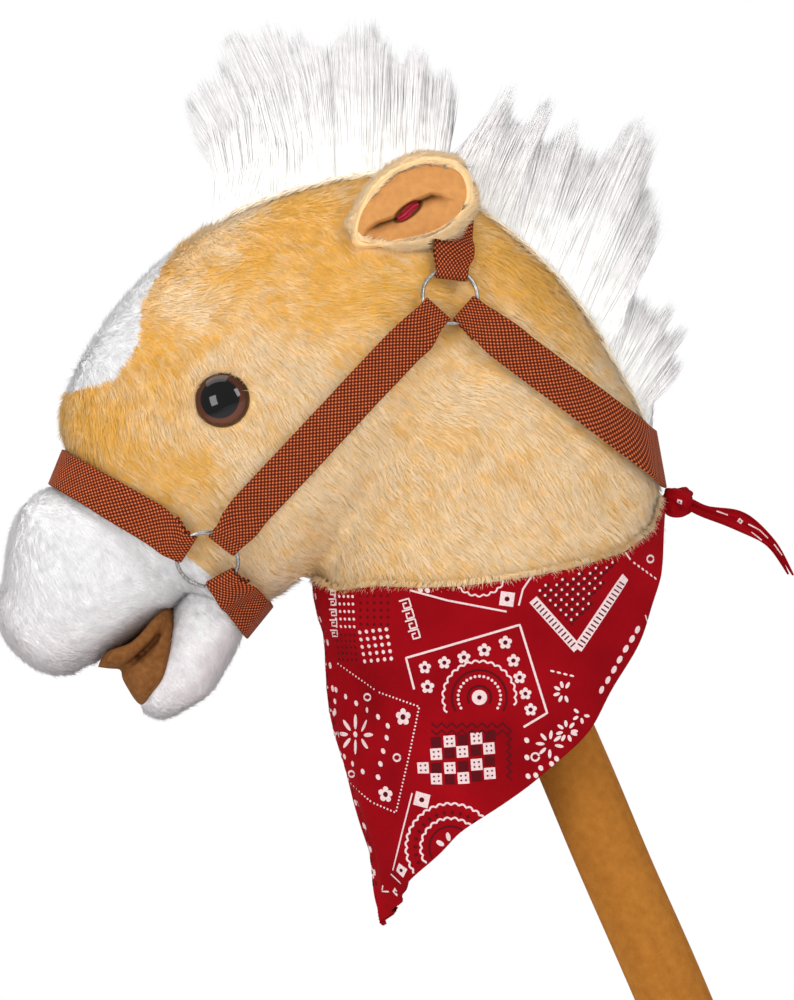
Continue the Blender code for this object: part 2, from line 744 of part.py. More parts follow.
def build_plush(finishes, frame, stick_space):
    """Head, neck, muzzle, jaw, mouth and blaze, cut to meet each other; returns them and the skin."""
    head_args = (HEAD_SECTIONS, HEAD_FRONT_DOME, HEAD_BACK_DOME)
    bottom = Vector((math.sin(HEAD_TILT), 0.0, -math.cos(HEAD_TILT))) * NECK_BELOW
    level = Vector((math.cos(HEAD_TILT), 0.0, math.sin(HEAD_TILT))) * NECK_BOTTOM_RADIUS
    front = bottom - level
    back = bottom + level
    neck_end = ((front.x, front.z), (back.x, back.z), NECK_BOTTOM_RADIUS)
    forms = {
        "head": (*head_args, 0.0, 0.0, HEAD_NARROWING),
        "neck": ((*NECK_SECTIONS, neck_end), NECK_TOP_DOME, 0.0),
        "muzzle": (MUZZLE_SECTIONS, 0.0, MUZZLE_DOME),
        "lower_jaw": (JAW_SECTIONS, 0.0, JAW_DOME),
        "mouth_lining": (MOUTH_SECTIONS, 0.0, MOUTH_DOME),
    }
    colours = {
        "head": "plush_tan",
        "neck": "plush_tan",
        "muzzle": "plush_white",
        "lower_jaw": "plush_white",
        "mouth_lining": "suede_tan",
    }
    plush = {}
    grown = {}
    for name, form in forms.items():
        plush[name] = add_object(name, lobe(name, *form), finishes[colours[name]], frame)
    for name in ("head", "neck", "muzzle", "lower_jaw"):
        sections, start, end = forms[name][:3]
        narrowing = HEAD_NARROWING if name == "head" else 0.0
        mesh = lobe(name + "_space", sections, start, end, GAP, 0.0, narrowing)
        grown[name] = add_object(name + "_space", mesh, None, frame)
    skin = plush_skin([plush[name].data for name in ("head", "neck", "muzzle", "lower_jaw")])
    neck_skin = plush_skin([plush["neck"].data])
    for name, larger in (
        ("neck", ("head",)),
        ("muzzle", ("head",)),
        ("lower_jaw", ("muzzle", "head")),
        ("mouth_lining", ("lower_jaw", "muzzle", "head")),
    ):
        for other in larger:
            boolean(plush[name], grown[other])
    for name in ("head", "neck"):
        boolean(plush[name], stick_space)

    prisms = []
    for name, grow in (("blaze_shape", 0.0), ("blaze_space", GAP)):
        around = [profile_point(pair) for pair in BLAZE_EDGE]
        middle = sum(around, Vector()) / len(around)
        around = [point + (point - middle).normalized() * grow for point in around]
        sides = [[point + ACROSS * FAR * sign / 2.0 for point in around] for sign in (-1.0, 1.0)]
        prisms.append(add_object(name, lofted(name, sides), None, frame))
    shape, space = prisms
    inner = add_object(
        "blaze_back", lobe("blaze_back", *head_args, -BLAZE_THICKNESS, 0.0, HEAD_NARROWING), None, frame
    )
    behind = add_object(
        "blaze_bed",
        lobe("blaze_bed", *head_args, -BLAZE_THICKNESS - GAP, 0.0, HEAD_NARROWING),
        None,
        frame,
    )
    boolean(space, behind)
    boolean(plush["head"], space)
    blaze = add_object("blaze", lobe("blaze", *forms["head"]), finishes["plush_white"], frame)
    boolean(blaze, shape, "INTERSECT")
    boolean(blaze, inner)
    return plush, grown, skin, neck_skin


def build_ears(finishes, frame, skin, grown):
    """Two plush cups with suede linings, seated on the head's sides."""
    along = Vector((math.cos(EAR_SLOPE), 0.0, math.sin(EAR_SLOPE)))
    upward = Vector((-math.sin(EAR_SLOPE), 0.0, math.cos(EAR_SLOPE)))
    centre = profile_point(EAR_CENTRE)
    ears = {}
    for side, sign in (("left", -1.0), ("right", 1.0)):
        surface = first_hit(skin, centre + ACROSS * sign * FAR, ACROSS * -sign)
        depth = EAR_OUTER[2][2]
        ear_y = surface.y + sign * (depth - EAR_SINK)
        shapes = {}
        for key, table, dome, shift in (
            ("outer", EAR_OUTER, EAR_OUTER_DOME, 0.0),
            ("hollow", EAR_HOLLOW, EAR_HOLLOW_DOME, EAR_HOLLOW_SHIFT),
        ):
            sections = []
            for distance, half_height, half_depth in table:
                point = centre + along * distance
                low = point - upward * half_height
                high = point + upward * half_height
                sections.append(((low.x, low.z), (high.x, high.z), half_depth))
            shapes[key] = (sections, dome, dome, ear_y + sign * shift)

        def shape(name, key, grow):
            sections, start, end, y = shapes[key]
            return lobe(name, sections, start, end, grow, y, dome_steps=EAR_DOME_STEPS)

        ear = add_object(side + "_ear", shape(side + "_ear", "outer", 0.0), finishes["plush_cream"], frame)
        hollow = add_object(side + "_ear_hollow", shape(side + "_ear_hollow", "hollow", 0.0), None, frame)
        boolean(ear, hollow)
        boolean(ear, grown["head"])
        boolean(ear, grown["neck"])
        name = side + "_ear_lining"
        lining = add_object(name, shape(name, "hollow", -GAP), finishes["suede_peach"], frame)
        for label, key, grow, operation in (
            ("_inside", "hollow", -GAP - EAR_LINING_THICKNESS, "DIFFERENCE"),
            ("_trim", "outer", -GAP, "INTERSECT"),
        ):
            cutter = add_object(name + label, shape(name + label, key, grow), None, frame)
            boolean(lining, cutter, operation)
        boolean(lining, grown["head"])
        boolean(lining, grown["neck"])
        floor_y = ear_y + sign * EAR_HOLLOW_SHIFT - sign * EAR_HOLLOW[2][2]
        ears[side] = (ear, lining, floor_y + sign * (GAP + EAR_LINING_THICKNESS))
    return ears


def build_eyes(finishes, frame, skin, head):
    """Two domed eyes on shanks, each locked by a washer inside the head."""
    radius = EYE_DIAMETER / 2.0
    shank = EYE_SHANK_DIAMETER / 2.0
    washer = WASHER_DIAMETER / 2.0
    dome = []
    for step in range(6):
        angle = math.pi / 2.0 * step / 5
        dome.append((radius * math.sin(angle), EYE_HEIGHT * math.cos(angle)))
    for side, sign in (("left", -1.0), ("right", 1.0)):
        seat, outward = side_seat(skin, EYE_CENTRE, radius, sign)
        socket = bpy.data.objects.new(side + "_eye_socket", None)
        bpy.data.collections["hobby_horse"].objects.link(socket)
        socket.parent = frame
        socket.location = seat - outward * EYE_SEAT
        socket.rotation_euler = outward.to_track_quat("Z", "Y").to_euler()
        turned(side + "_eye", [
            *dome, (radius, -EYE_RIM), (shank, -EYE_RIM), (shank, -EYE_SHANK_LENGTH),
            (0.0, -EYE_SHANK_LENGTH),
        ], socket, finishes["eye_brown"])
        turned(side + "_eye_washer", [
            (shank + GAP, -WASHER_DEPTH), (washer, -WASHER_DEPTH),
            (washer, -WASHER_DEPTH - WASHER_THICKNESS),
            (shank + GAP, -WASHER_DEPTH - WASHER_THICKNESS),
        ], socket, finishes["cap"])
        low = -EYE_RIM - GAP
        space = turned(side + "_eye_space", [
            (0.0, EYE_DIAMETER), (radius + GAP, EYE_DIAMETER), (radius + GAP, low),
            (shank + GAP, low), (shank + GAP, -WASHER_DEPTH + GAP), (washer + GAP, -WASHER_DEPTH + GAP),
            (washer + GAP, -WASHER_DEPTH - WASHER_THICKNESS - GAP),
            (shank + GAP, -WASHER_DEPTH - WASHER_THICKNESS - GAP),
            (shank + GAP, -EYE_SHANK_LENGTH - GAP), (0.0, -EYE_SHANK_LENGTH - GAP),
        ], socket, None)
        boolean(head, space)


def build_halter(finishes, frame, skin):
    """Wire rings and the straps folded round them; returns the notch for the ears."""
    rings = {}
    for side, sign in (("left", -1.0), ("right", 1.0)):
        for key, place, diameter in (
            ("cheek_ring", CHEEK_RING_CENTRE, CHEEK_RING_DIAMETER),
            ("jaw_ring", JAW_RING_CENTRE, JAW_RING_DIAMETER),
        ):
            name = f"{side}_{key}"
            rings[name] = ring_seat(skin, place, diameter, sign)
            centre, outward, radius = rings[name]
            form = bmesh.new()
            section = bmesh.ops.create_circle(form, segments=WIRE_SIDES, radius=WIRE_DIAMETER / 2.0)
            upright = Matrix.Translation((radius, 0.0, 0.0)) @ Matrix.Rotation(math.pi / 2.0, 4, "X")
            bmesh.ops.transform(form, matrix=upright, verts=section["verts"])
            bmesh.ops.spin(
                form,
                geom=form.verts[:] + form.edges[:],
                axis=(0.0, 0.0, 1.0),
                cent=(0.0, 0.0, 0.0),
                angle=math.tau,
                steps=RING_STEPS,
                use_merge=True,
            )
            ring = add_object(name, mesh_of(name, form), finishes["steel"], frame)
            ring.location = centre
            ring.rotation_euler = outward.to_track_quat("Z", "Y").to_euler()
    shifts = (-WEBBING_WIDTH / 2.0, 0.0, WEBBING_WIDTH / 2.0)
    runs = {}
    for name, key, place, middle, turn in (
        ("noseband", "jaw_ring", JAW_RING_CENTRE, NOSEBAND_MIDDLE, 0.25),
        ("chin_strap", "jaw_ring", JAW_RING_CENTRE, CHIN_STRAP_MIDDLE, 0.30),
        ("crown_strap", "cheek_ring", CHEEK_RING_CENTRE, CROWN_MIDDLE, 0.0),
        ("neck_strap", "cheek_ring", CHEEK_RING_CENTRE, NECK_STRAP_MIDDLE, 0.42),
    ):
        edges = [girth(skin, middle, place, shift, turn) for shift in shifts]
        ends = (rings["left_" + key], rings["right_" + key])
        if edges[1][0].y > 0.0:
            ends = ends[::-1]
        runs[name] = (strap_rows(skin, edges), ends)
    for side, sign in (("left", -1.0), ("right", 1.0)):
        edges = [side_line(skin, JAW_RING_CENTRE, CHEEK_RING_CENTRE, shift, sign) for shift in shifts]
        ends = (rings[side + "_jaw_ring"], rings[side + "_cheek_ring"])
        runs[side + "_cheek_strap"] = (strap_rows(skin, edges), ends)
    for name, (rows, ends) in runs.items():
        add_object(name, strap_mesh(name, rows, ends), finishes["webbing"], frame)
    return add_object("ear_notch", ear_notch(*runs["crown_strap"]), None, frame)


def build_hair(finishes, frame, skin, grown):
    """The long-pile strips of the forelock and the mane, sewn along the crest."""
    for name, base, inward, tips in (
        ("forelock", FORELOCK_BASE, FORELOCK_INWARD, FORELOCK_TIPS),
        ("mane", MANE_BASE, MANE_INWARD, MANE_TIPS),
    ):
        mesh = lock_curtain(name, skin, base, inward, tips)
        hair = add_object(name, mesh, finishes["pile_white"], frame)
        boolean(hair, grown["head"])
        boolean(hair, grown["neck"])


def build_scarf(finishes, frame, skin):
    """The neckerchief, and the knot with its two tails."""
    form = bmesh.new()
    rows = []
    for row in range(SCARF_ROWS + 1):
        drop = SCARF_TIP * row / SCARF_ROWS
        span = SCARF_WRAP * (1.0 - drop**SCARF_BELLY)
        rows.append(
            [
                form.verts.new(scarf_point(skin, span * (2.0 * column / SCARF_COLUMNS - 1.0), drop))
                for column in range(SCARF_COLUMNS + 1)
            ]
        )
    for here, there in zip(rows, rows[1:]):
        for column in range(SCARF_COLUMNS):
            form.faces.new((here[column], here[column + 1], there[column + 1], there[column]))
    mesh = mesh_of("bandana", form)
    scarf = add_object("bandana", mesh, finishes["cotton_red"], frame)
    wall = scarf.modifiers.new("wall", "SOLIDIFY")
    wall.thickness = SCARF_THICKNESS
    wall.offset = 1.0

    centre = profile_point(KNOT_CENTRE)
    form = bmesh.new()
    bmesh.ops.create_uvsphere(form, u_segments=14, v_segments=8, radius=1.0)
    bmesh.ops.scale(form, vec=KNOT_RADII, verts=form.verts)
    bmesh.ops.translate(form, vec=centre, verts=form.verts)
    knot = add_object("bandana_knot", mesh_of("bandana_knot", form), finishes["cotton_red"], frame)
    rows = [(*place, width) for place, width in zip(TAIL_PATH, TAIL_HALF_WIDTHS)]
    rows = smooth_between(rows, SPAN_STEPS)
    for label, sign in (("left", -1.0), ("right", 1.0)):
        rings = []
        for index, (x, z, width) in enumerate(rows):
            here = Vector((x, sign * TAIL_SPREAD * x, z))
            beside = rows[min(index + 1, len(rows) - 1)]
            before = rows[max(index - 1, 0)]
            ahead = Vector((beside[0] - before[0], 0.0, beside[1] - before[1])).normalized()
            upward = ahead.cross(ACROSS)
            if upward.z < 0.0:
                upward.negate()
            ring = []
            for step in range(6):
                angle = math.tau * step / 6
                offset = upward * width * math.cos(angle)
                thinning = min(1.0, width / TAIL_FULL_WIDTH)
                offset += ACROSS * TAIL_HALF_THICKNESS * math.sin(angle) * thinning
                ring.append(centre + here + offset)
            rings.append(ring)
        name = f"{label}_tail"
        boolean(knot, add_object(name, lofted(name, rings), None, frame), "UNION")


def build_sound(finishes, frame, head, ears):
    """The sprung sound button in the left ear's fold, and the sound box below it in the head."""
    ear, lining, floor_y = ears["left"]
    travel = BUTTON_TRAVEL + GAP
    button_back = floor_y - travel - BUTTON_LIFT
    box_front = floor_y + BOX_DEPTH
    stem_end = box_front + STEM_IN_BOX
    along = Matrix.Rotation(-EAR_SLOPE, 4, "Y")
    place = profile_point(BUTTON_PLACE)
    place.y = button_back

    form = bmesh.new()
    size = (BUTTON_LENGTH, BUTTON_THICKNESS, BUTTON_WIDTH)
    bmesh.ops.create_cube(form, size=1.0, matrix=along @ Matrix.Diagonal((*size, 1.0)))
    bmesh.ops.translate(form, verts=form.verts, vec=(0.0, -BUTTON_THICKNESS / 2.0, 0.0))
    bmesh.ops.bevel(
        form, geom=form.edges[:], offset=BUTTON_THICKNESS * 0.32, segments=2, affect="EDGES", profile=0.5
    )
    button = add_object("sound_button", mesh_of("sound_button", form), finishes["satin_red"], frame)
    button.location = place

    def rod(name, radius, start, end, centre):
        rod_form = bmesh.new()
        turn = Matrix.Rotation(math.pi / 2.0, 4, "X")
        bmesh.ops.create_cone(
            rod_form, cap_ends=True, segments=TURN_STEPS, radius1=radius, radius2=radius,
            depth=end - start, matrix=turn,
        )
        move = Vector((centre[0], (start + end) / 2.0, centre[1]))
        bmesh.ops.translate(rod_form, verts=rod_form.verts, vec=move)
        return mesh_of(name, rod_form)

    stem_start = button_back - BUTTON_THICKNESS / 2.0
    stem = STEM_DIAMETER / 2.0
    boolean(button, add_object(
        "stem", rod("stem", stem, stem_start, stem_end, BUTTON_PLACE), None, frame
    ), "UNION")
    stem_space = add_object(
        "stem_space",
        rod("stem_space", stem + 2.0 * GAP, stem_start, stem_end + travel, BUTTON_PLACE),
        None,
        frame,
    )
    box_back = box_front + BOX_THICKNESS
    box = BOX_DIAMETER / 2.0
    mesh = rod("sound_box", box, box_front, box_back, BOX_PLACE)
    sound_box = add_object("sound_box", mesh, finishes["cap"], frame)
    rounding = sound_box.modifiers.new("rounding", "BEVEL")
    rounding.width = 0.0012
    rounding.segments = 2
    rounding.limit_method = "ANGLE"
    box_space = add_object(
        "sound_box_space",
        rod("sound_box_space", box + GAP, box_front - GAP, box_back + GAP, BOX_PLACE),
        None,
        frame,
    )
    boolean(head, box_space)
    for thing in (head, ear, lining, sound_box):
        boolean(thing, stem_space)


def build():
    """Makes every part of the hobby horse."""
    start_scene()
    finishes = {
        "plush_tan": material("plush_tan", (0.80, 0.46, 0.13), 0.95),
        "plush_white": material("plush_white", (0.88, 0.86, 0.87), 0.95),
        "plush_cream": material("plush_cream", (0.84, 0.62, 0.36), 0.95),
        "pile_white": material("pile_white", (0.90, 0.89, 0.90), 0.90),
        "suede_peach": material("suede_peach", (0.79, 0.44, 0.17), 0.90),
        "suede_tan": material("suede_tan", (0.38, 0.15, 0.04), 0.90),
        "webbing": material("webbing", (0.26, 0.06, 0.02), 0.65),
        "steel": material("steel", (0.62, 0.60, 0.58), 0.25, 1.0),
        "eye_brown": material("eye_brown", (0.04, 0.012, 0.006), 0.10),
        "cotton_red": material("cotton_red", (0.42, 0.008, 0.014), 0.80),
        "satin_red": material("satin_red", (0.45, 0.012, 0.030), 0.30),
        "wood": material("wood", (0.55, 0.36, 0.18), 0.60),
        "foam": material("foam", (0.46, 0.20, 0.05), 0.85),
        "cap": material("cap", (0.05, 0.04, 0.035), 0.50),
    }
    frame = bpy.data.objects.new("head_frame", None)
    bpy.data.collections["hobby_horse"].objects.link(frame)
    frame.location = (0.0, 0.0, STICK_LENGTH)
    frame.rotation_euler = (0.0, HEAD_TILT, 0.0)

    stick_space = build_stick(finishes)
    build_neck_base(finishes)
    plush, grown, skin, neck_skin = build_plush(finishes, frame, stick_space)
    ears = build_ears(finishes, frame, skin, grown)
    build_eyes(finishes, frame, skin, plush["head"])
    notch = build_halter(finishes, frame, skin)
    for ear, lining, _ in ears.values():
        boolean(ear, notch)
        boolean(lining, notch)
    build_hair(finishes, frame, skin, grown)
    build_scarf(finishes, frame, neck_skin)
    build_sound(finishes, frame, plush["head"], ears)


build()
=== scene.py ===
# Hobby horse: a stuffed horse's head on a stick, with halter, neckerchief and white mane
import json
import math

import bmesh
import bpy
import numpy as np
from mathutils import Matrix, Vector
from mathutils.bvhtree import BVHTree
from mathutils.kdtree import KDTree

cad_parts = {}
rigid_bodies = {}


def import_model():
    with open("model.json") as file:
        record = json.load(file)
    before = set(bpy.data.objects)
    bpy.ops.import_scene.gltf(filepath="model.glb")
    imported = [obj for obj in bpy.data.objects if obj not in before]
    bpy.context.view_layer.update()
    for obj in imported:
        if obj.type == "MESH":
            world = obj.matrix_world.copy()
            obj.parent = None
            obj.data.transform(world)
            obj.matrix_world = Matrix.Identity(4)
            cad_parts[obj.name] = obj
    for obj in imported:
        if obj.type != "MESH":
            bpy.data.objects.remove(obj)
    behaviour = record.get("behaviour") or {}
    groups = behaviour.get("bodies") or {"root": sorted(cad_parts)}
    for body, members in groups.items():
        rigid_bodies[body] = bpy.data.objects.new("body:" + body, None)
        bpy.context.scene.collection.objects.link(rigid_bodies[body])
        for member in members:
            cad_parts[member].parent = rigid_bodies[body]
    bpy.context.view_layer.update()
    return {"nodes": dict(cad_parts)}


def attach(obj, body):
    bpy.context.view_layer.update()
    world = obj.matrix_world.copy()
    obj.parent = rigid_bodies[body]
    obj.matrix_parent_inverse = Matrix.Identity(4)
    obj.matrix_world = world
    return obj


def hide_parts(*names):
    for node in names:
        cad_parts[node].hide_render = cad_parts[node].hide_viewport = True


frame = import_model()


# Stuffed head and neck
# The head, neck and muzzle are one stuffed body of knitted backing cloth, sewn from panels and
# filled with fibre; the pile stands on it. It slants on an upright stick, so it is drawn level
# in a frame of its own, with x from nose to neck, and then set in place.
STICK_LENGTH = 0.640
HEAD_SLANT = math.radians(23.3)
HEAD_SECTIONS = (
    ((-0.123, -0.015), (-0.216, 0.057), 0.047),
    ((-0.114, -0.010), (-0.2195, 0.088), 0.051),
    ((-0.103, -0.004), (-0.2045, 0.123), 0.056),
    ((-0.090, 0.006), (-0.173, 0.160), 0.060),
    ((-0.072, 0.022), (-0.132, 0.188), 0.061),
    ((-0.050, 0.045), (-0.085, 0.204), 0.059),
    ((-0.030, 0.080), (-0.046, 0.211), 0.052),
)
NECK_SECTIONS = (
    ((-0.054, 0.146), (-0.006, 0.190), 0.034),
    ((-0.068, 0.105), (0.034, 0.153), 0.050),
    ((-0.080, 0.062), (0.060, 0.113), 0.057),
    ((-0.088, 0.026), (0.078, 0.078), 0.060),
    ((-0.090, -0.002), (0.084, 0.042), 0.060),
    ((-0.082, -0.028), (0.083, 0.012), 0.057),
    ((-0.060, -0.050), (0.074, -0.014), 0.050),
    ((-0.0183, -0.0688), (0.0626, -0.0340), 0.044),
)
MUZZLE_SECTIONS = (
    ((-0.141, 0.005), (-0.206, 0.060), 0.042),
    ((-0.152, -0.006), (-0.2175, 0.054), 0.047),
    ((-0.168, -0.020), (-0.2335, 0.046), 0.050),
    ((-0.188, -0.034), (-0.2435, 0.027), 0.048),
    ((-0.207, -0.042), (-0.2475, 0.001), 0.041),
)
BLAZE_EDGE = (
    (-0.150, 0.186), (-0.157, 0.171), (-0.1655, 0.1595), (-0.177, 0.140), (-0.178, 0.120),
    (-0.190, 0.103), (-0.210, 0.0975), (-0.240, 0.0970), (-0.240, 0.190),
)
MUZZLE_SEAM = ((-0.206, 0.060), (-0.141, 0.005))
NOSEBAND_LINE = ((-0.224, 0.0615), (-0.1545, 0.0175))
GOLD_PILE = 0.0030
WHITE_PILE = 0.0016

head_place = Matrix.Translation((0.0, 0.0, STICK_LENGTH)) @ Matrix.Rotation(HEAD_SLANT, 4, "Y")
head_turn = np.array(head_place.to_3x3())
head_origin = np.array(head_place.translation)


def placed(points):
    """Points of the head's own frame, in the row frame."""
    return np.asarray(points, float) @ head_turn.T + head_origin


def level(points):
    """Points of the row frame, in the head's own frame."""
    return (np.asarray(points, float) - head_origin) @ head_turn


def curve_through(rows, steps):
    """Rows of numbers on a smooth curve through the given ones, with steps to each span."""
    rows = np.asarray(rows, float)
    last = len(rows) - 1
    along = np.arange(last * steps + 1) / steps
    index = np.minimum(along.astype(int), last - 1)
    t = (along - index).reshape((-1,) + (1,) * (rows.ndim - 1))
    p, q, r, s = (rows[np.clip(index + shift, 0, last)] for shift in (-1, 0, 1, 2))
    return 0.5 * (
        2.0 * q + (r - p) * t + (2.0 * p - 5.0 * q + 4.0 * r - s) * t**2 + (3.0 * q - p - 3.0 * r + s) * t**3
    )


def unit(vectors):
    """Vectors brought to a length of one."""
    return vectors / np.maximum(np.linalg.norm(vectors, axis=-1, keepdims=True), 1e-12)


def laid_out(name, data):
    """A new object of the scene from its mesh, lamp or camera."""
    made = bpy.data.objects.new(name, data)
    bpy.context.scene.collection.objects.link(made)
    return made


def piece_of(name, points, faces, smooth=True):
    """A mesh piece from points and equal-sided faces, in the row frame."""
    points = np.asarray(points, np.float32).reshape(-1, 3)
    faces = np.asarray(faces, np.int32)
    corners = faces.shape[1]
    mesh = bpy.data.meshes.new(name)
    mesh.vertices.add(len(points))
    mesh.vertices.foreach_set("co", points.ravel())
    mesh.loops.add(faces.size)
    mesh.loops.foreach_set("vertex_index", faces.ravel())
    mesh.polygons.add(len(faces))
    mesh.polygons.foreach_set("loop_start", np.arange(len(faces), dtype=np.int32) * corners)
    mesh.update(calc_edges=True)
    mesh.polygons.foreach_set("use_smooth", np.full(len(faces), smooth))
    return laid_out(name, mesh)


def lofted(name, rings):
    """A closed form with a skin through its rings and a face on each end."""
    form = bmesh.new()
    rows = [[form.verts.new(point) for point in ring] for ring in rings]
    for here, there in zip(rows, rows[1:]):
        for side in range(len(here)):
            form.faces.new((here[side], here[side - 1], there[side - 1], there[side]))
    form.faces.new(rows[0])
    form.faces.new(rows[-1][::-1])
    bmesh.ops.recalc_face_normals(form, faces=form.faces[:])
    mesh = bpy.data.meshes.new(name)
    form.to_mesh(mesh)
    mesh.polygons.foreach_set("use_smooth", np.full(len(mesh.polygons), True))
    return laid_out(name, mesh)


def stuffed_form(name, sections, start_dome, end_dome, narrowing=0.0):
    """A form that swells and tapers through its sections, in the head's frame, with domed ends."""
    sides = 56
    angles = np.arange(sides) * math.tau / sides
    rise, out = (np.sign(wave) * np.abs(wave) ** (2.0 / 2.25) for wave in (np.cos(angles), np.sin(angles)))
    rings = []
    for x_under, z_under, x_top, z_top, half in curve_through([(*a, *b, c) for a, b, c in sections], 8):
        under, top = np.array((x_under, 0.0, z_under)), np.array((x_top, 0.0, z_top))
        across = np.outer(half * (1.0 - narrowing * rise) * out, (0.0, 1.0, 0.0))
        rings.append((under + top) / 2.0 + np.outer(rise, top - under) / 2.0 + across)
    for end, dome in ((0, start_dome), (-1, end_dome)):
        middle, beside = rings[end].mean(axis=0), rings[1 if end == 0 else -2].mean(axis=0)
        upward = unit(rings[end][0] - rings[end][sides // 2])
        outward = np.cross(upward, (0.0, 1.0, 0.0))
        outward *= np.sign(outward @ (middle - beside))
        turns = np.linspace(0.0, math.pi / 2.0, 10)[1:] if dome else ()
        domed = [middle + (rings[end] - middle) * max(math.cos(turn), 0.02) + outward * dome * math.sin(turn)
                 for turn in turns]
        rings = domed[::-1] + rings if end == 0 else rings + domed
    return lofted(name, [placed(ring) for ring in rings])


def apply_modifiers(piece):
    """Applies every modifier of a piece, in order."""
    bpy.context.view_layer.objects.active = piece
    for modifier in list(piece.modifiers):
        bpy.ops.object.modifier_apply(modifier=modifier.name)


def picked(pieces):
    """Selects these pieces alone, with the first one active."""
    bpy.ops.object.select_all(action="DESELECT")
    for piece in pieces:
        piece.select_set(True)
    bpy.context.view_layer.objects.active = pieces[0]


def sewn_together(name, forms, voxel, rounds):
    """The forms as one closed skin, with its creases softened as cloth softens them."""
    picked(forms)
    if len(forms) > 1:
        bpy.ops.object.join()
    skin = forms[0]
    skin.name = skin.data.name = name
    weld = skin.modifiers.new("weld", "REMESH")
    weld.mode = "VOXEL"
    weld.voxel_size = voxel
    weld.use_smooth_shade = True
    soften = skin.modifiers.new("soften", "SMOOTH")
    soften.iterations = rounds
    apply_modifiers(skin)
    return skin


def vertex_array(mesh, key):
    """The places or normals of a mesh's vertices, as rows of three."""
    values = np.empty(len(mesh.vertices) * 3, np.float32)
    mesh.vertices.foreach_get(key, values)
    return values.reshape(-1, 3).astype(float)


def moved(piece, places):
    """Gives a piece's vertices new places."""
    piece.data.vertices.foreach_set("co", places.astype(np.float32).ravel())
    piece.data.update()


def paint(piece, name, colours):
    """Gives each vertex of a piece its own colour."""
    layer = piece.data.color_attributes.new(name=name, type="FLOAT_COLOR", domain="POINT")
    values = np.ones((len(colours), 4), np.float32)
    values[:, :3] = colours
    layer.data.foreach_set("color", values.ravel())


def soft_step(value, low=0.0, high=1.0):
    """Rises smoothly from 0 at low to 1 at high."""
    t = np.clip((np.asarray(value, float) - low) / (high - low), 0.0, 1.0)
    return t * t * (3.0 - 2.0 * t)


def waves(points, size, seed):
    """A smooth, even mottling from about -1 to 1, with patches of about the given size."""
    rng = np.random.default_rng(seed)
    total = np.zeros(len(points))
    for _ in range(9):
        way = rng.normal(size=3)
        way *= math.tau / (size * rng.uniform(0.7, 1.8)) / np.linalg.norm(way)
        total += np.sin(points @ way + rng.uniform(0.0, math.tau))
    return total / 3.0


def inside_blaze(flat):
    """Which points of the head's frame lie in the blaze, seen from the side."""
    x, z = flat[:, 0], flat[:, 2]
    inside = np.zeros(len(flat), bool)
    for (x0, z0), (x1, z1) in zip(BLAZE_EDGE, BLAZE_EDGE[1:] + BLAZE_EDGE[:1]):
        crosses = (z0 > z) != (z1 > z)
        inside ^= crosses & (x < (x1 - x0) * (z - z0) / (z1 - z0 + 1e-12) + x0)
    return inside


def muzzle_side(flat):
    """How far points of the head's frame lie on the muzzle's side of its seam."""
    (x0, z0), (x1, z1) = MUZZLE_SEAM
    along = unit(np.array((x1 - x0, z1 - z0)))
    return -(along[0] * (flat[:, 2] - z0) - along[1] * (flat[:, 0] - x0))


def search_tree(piece):
    """A search tree over a piece's faces."""
    faces = [tuple(face.vertices) for face in piece.data.polygons]
    return BVHTree.FromPolygons(vertex_array(piece.data, "co").tolist(), faces)


def tightened(points):
    """Places drawn in towards the nose's heart where the noseband pulls the stuffing tight."""
    flat = level(points)
    (x0, z0), (x1, z1) = NOSEBAND_LINE
    along = unit(np.array((x1 - x0, z1 - z0)))
    away = along[0] * (flat[:, 2] - z0) - along[1] * (flat[:, 0] - x0)
    depth = 0.0075 * np.exp(-((away / 0.015) ** 2)) * soft_step(-flat[:, 0], 0.180, 0.220)
    return placed(flat + unit(np.array((-0.150, 0.0, 0.030)) - flat) * depth[:, None])


neck_form = stuffed_form("neck_form", NECK_SECTIONS, 0.010, 0.0)
neck_surface = search_tree(neck_form)
body_cloth = sewn_together("stuffed_body", [
    stuffed_form("head_form", HEAD_SECTIONS, 0.012, 0.032, 0.14),
    neck_form,
    stuffed_form("muzzle_form", MUZZLE_SECTIONS, 0.0, 0.019),
], 0.0027, 6)
places, normals = vertex_array(body_cloth.data, "co"), vertex_array(body_cloth.data, "normal")
flat = level(places)
white_share = soft_step(muzzle_side(flat), -0.001, 0.001)
pile_depth = GOLD_PILE + (WHITE_PILE - GOLD_PILE) * soft_step(muzzle_side(flat), -0.010, 0.004)
lumps = waves(places, 0.055, 3) * 0.0006
places = tightened(places + normals * (lumps - pile_depth)[:, None])
moved(body_cloth, places)
blaze = inside_blaze(flat)
gold, white = np.array((0.90, 0.58, 0.24)), np.array((0.95, 0.94, 0.945))
paint(body_cloth, "cloth", np.where((blaze | (white_share > 0.5))[:, None], white, gold))


def new_finish(name, roughness, shine=0.1):
    """A material with its node tree and its main shader."""
    finish = bpy.data.materials.new(name)
    finish.use_nodes = True
    shader = finish.node_tree.nodes["Principled BSDF"]
    shader.inputs["Roughness"].default_value = roughness
    shader.inputs["Specular IOR Level"].default_value = shine
    return finish, finish.node_tree, shader


def node(tree, kind, inputs=(), **settings):
    """A node with its settings, and its inputs linked or given a value."""
    made = tree.nodes.new("ShaderNode" + kind)
    for key, value in settings.items():
        setattr(made, key, value)
    for key, value in dict(inputs).items():
        if isinstance(value, bpy.types.NodeSocket):
            tree.links.new(value, made.inputs[key])
        else:
            made.inputs[key].default_value = value
    return made


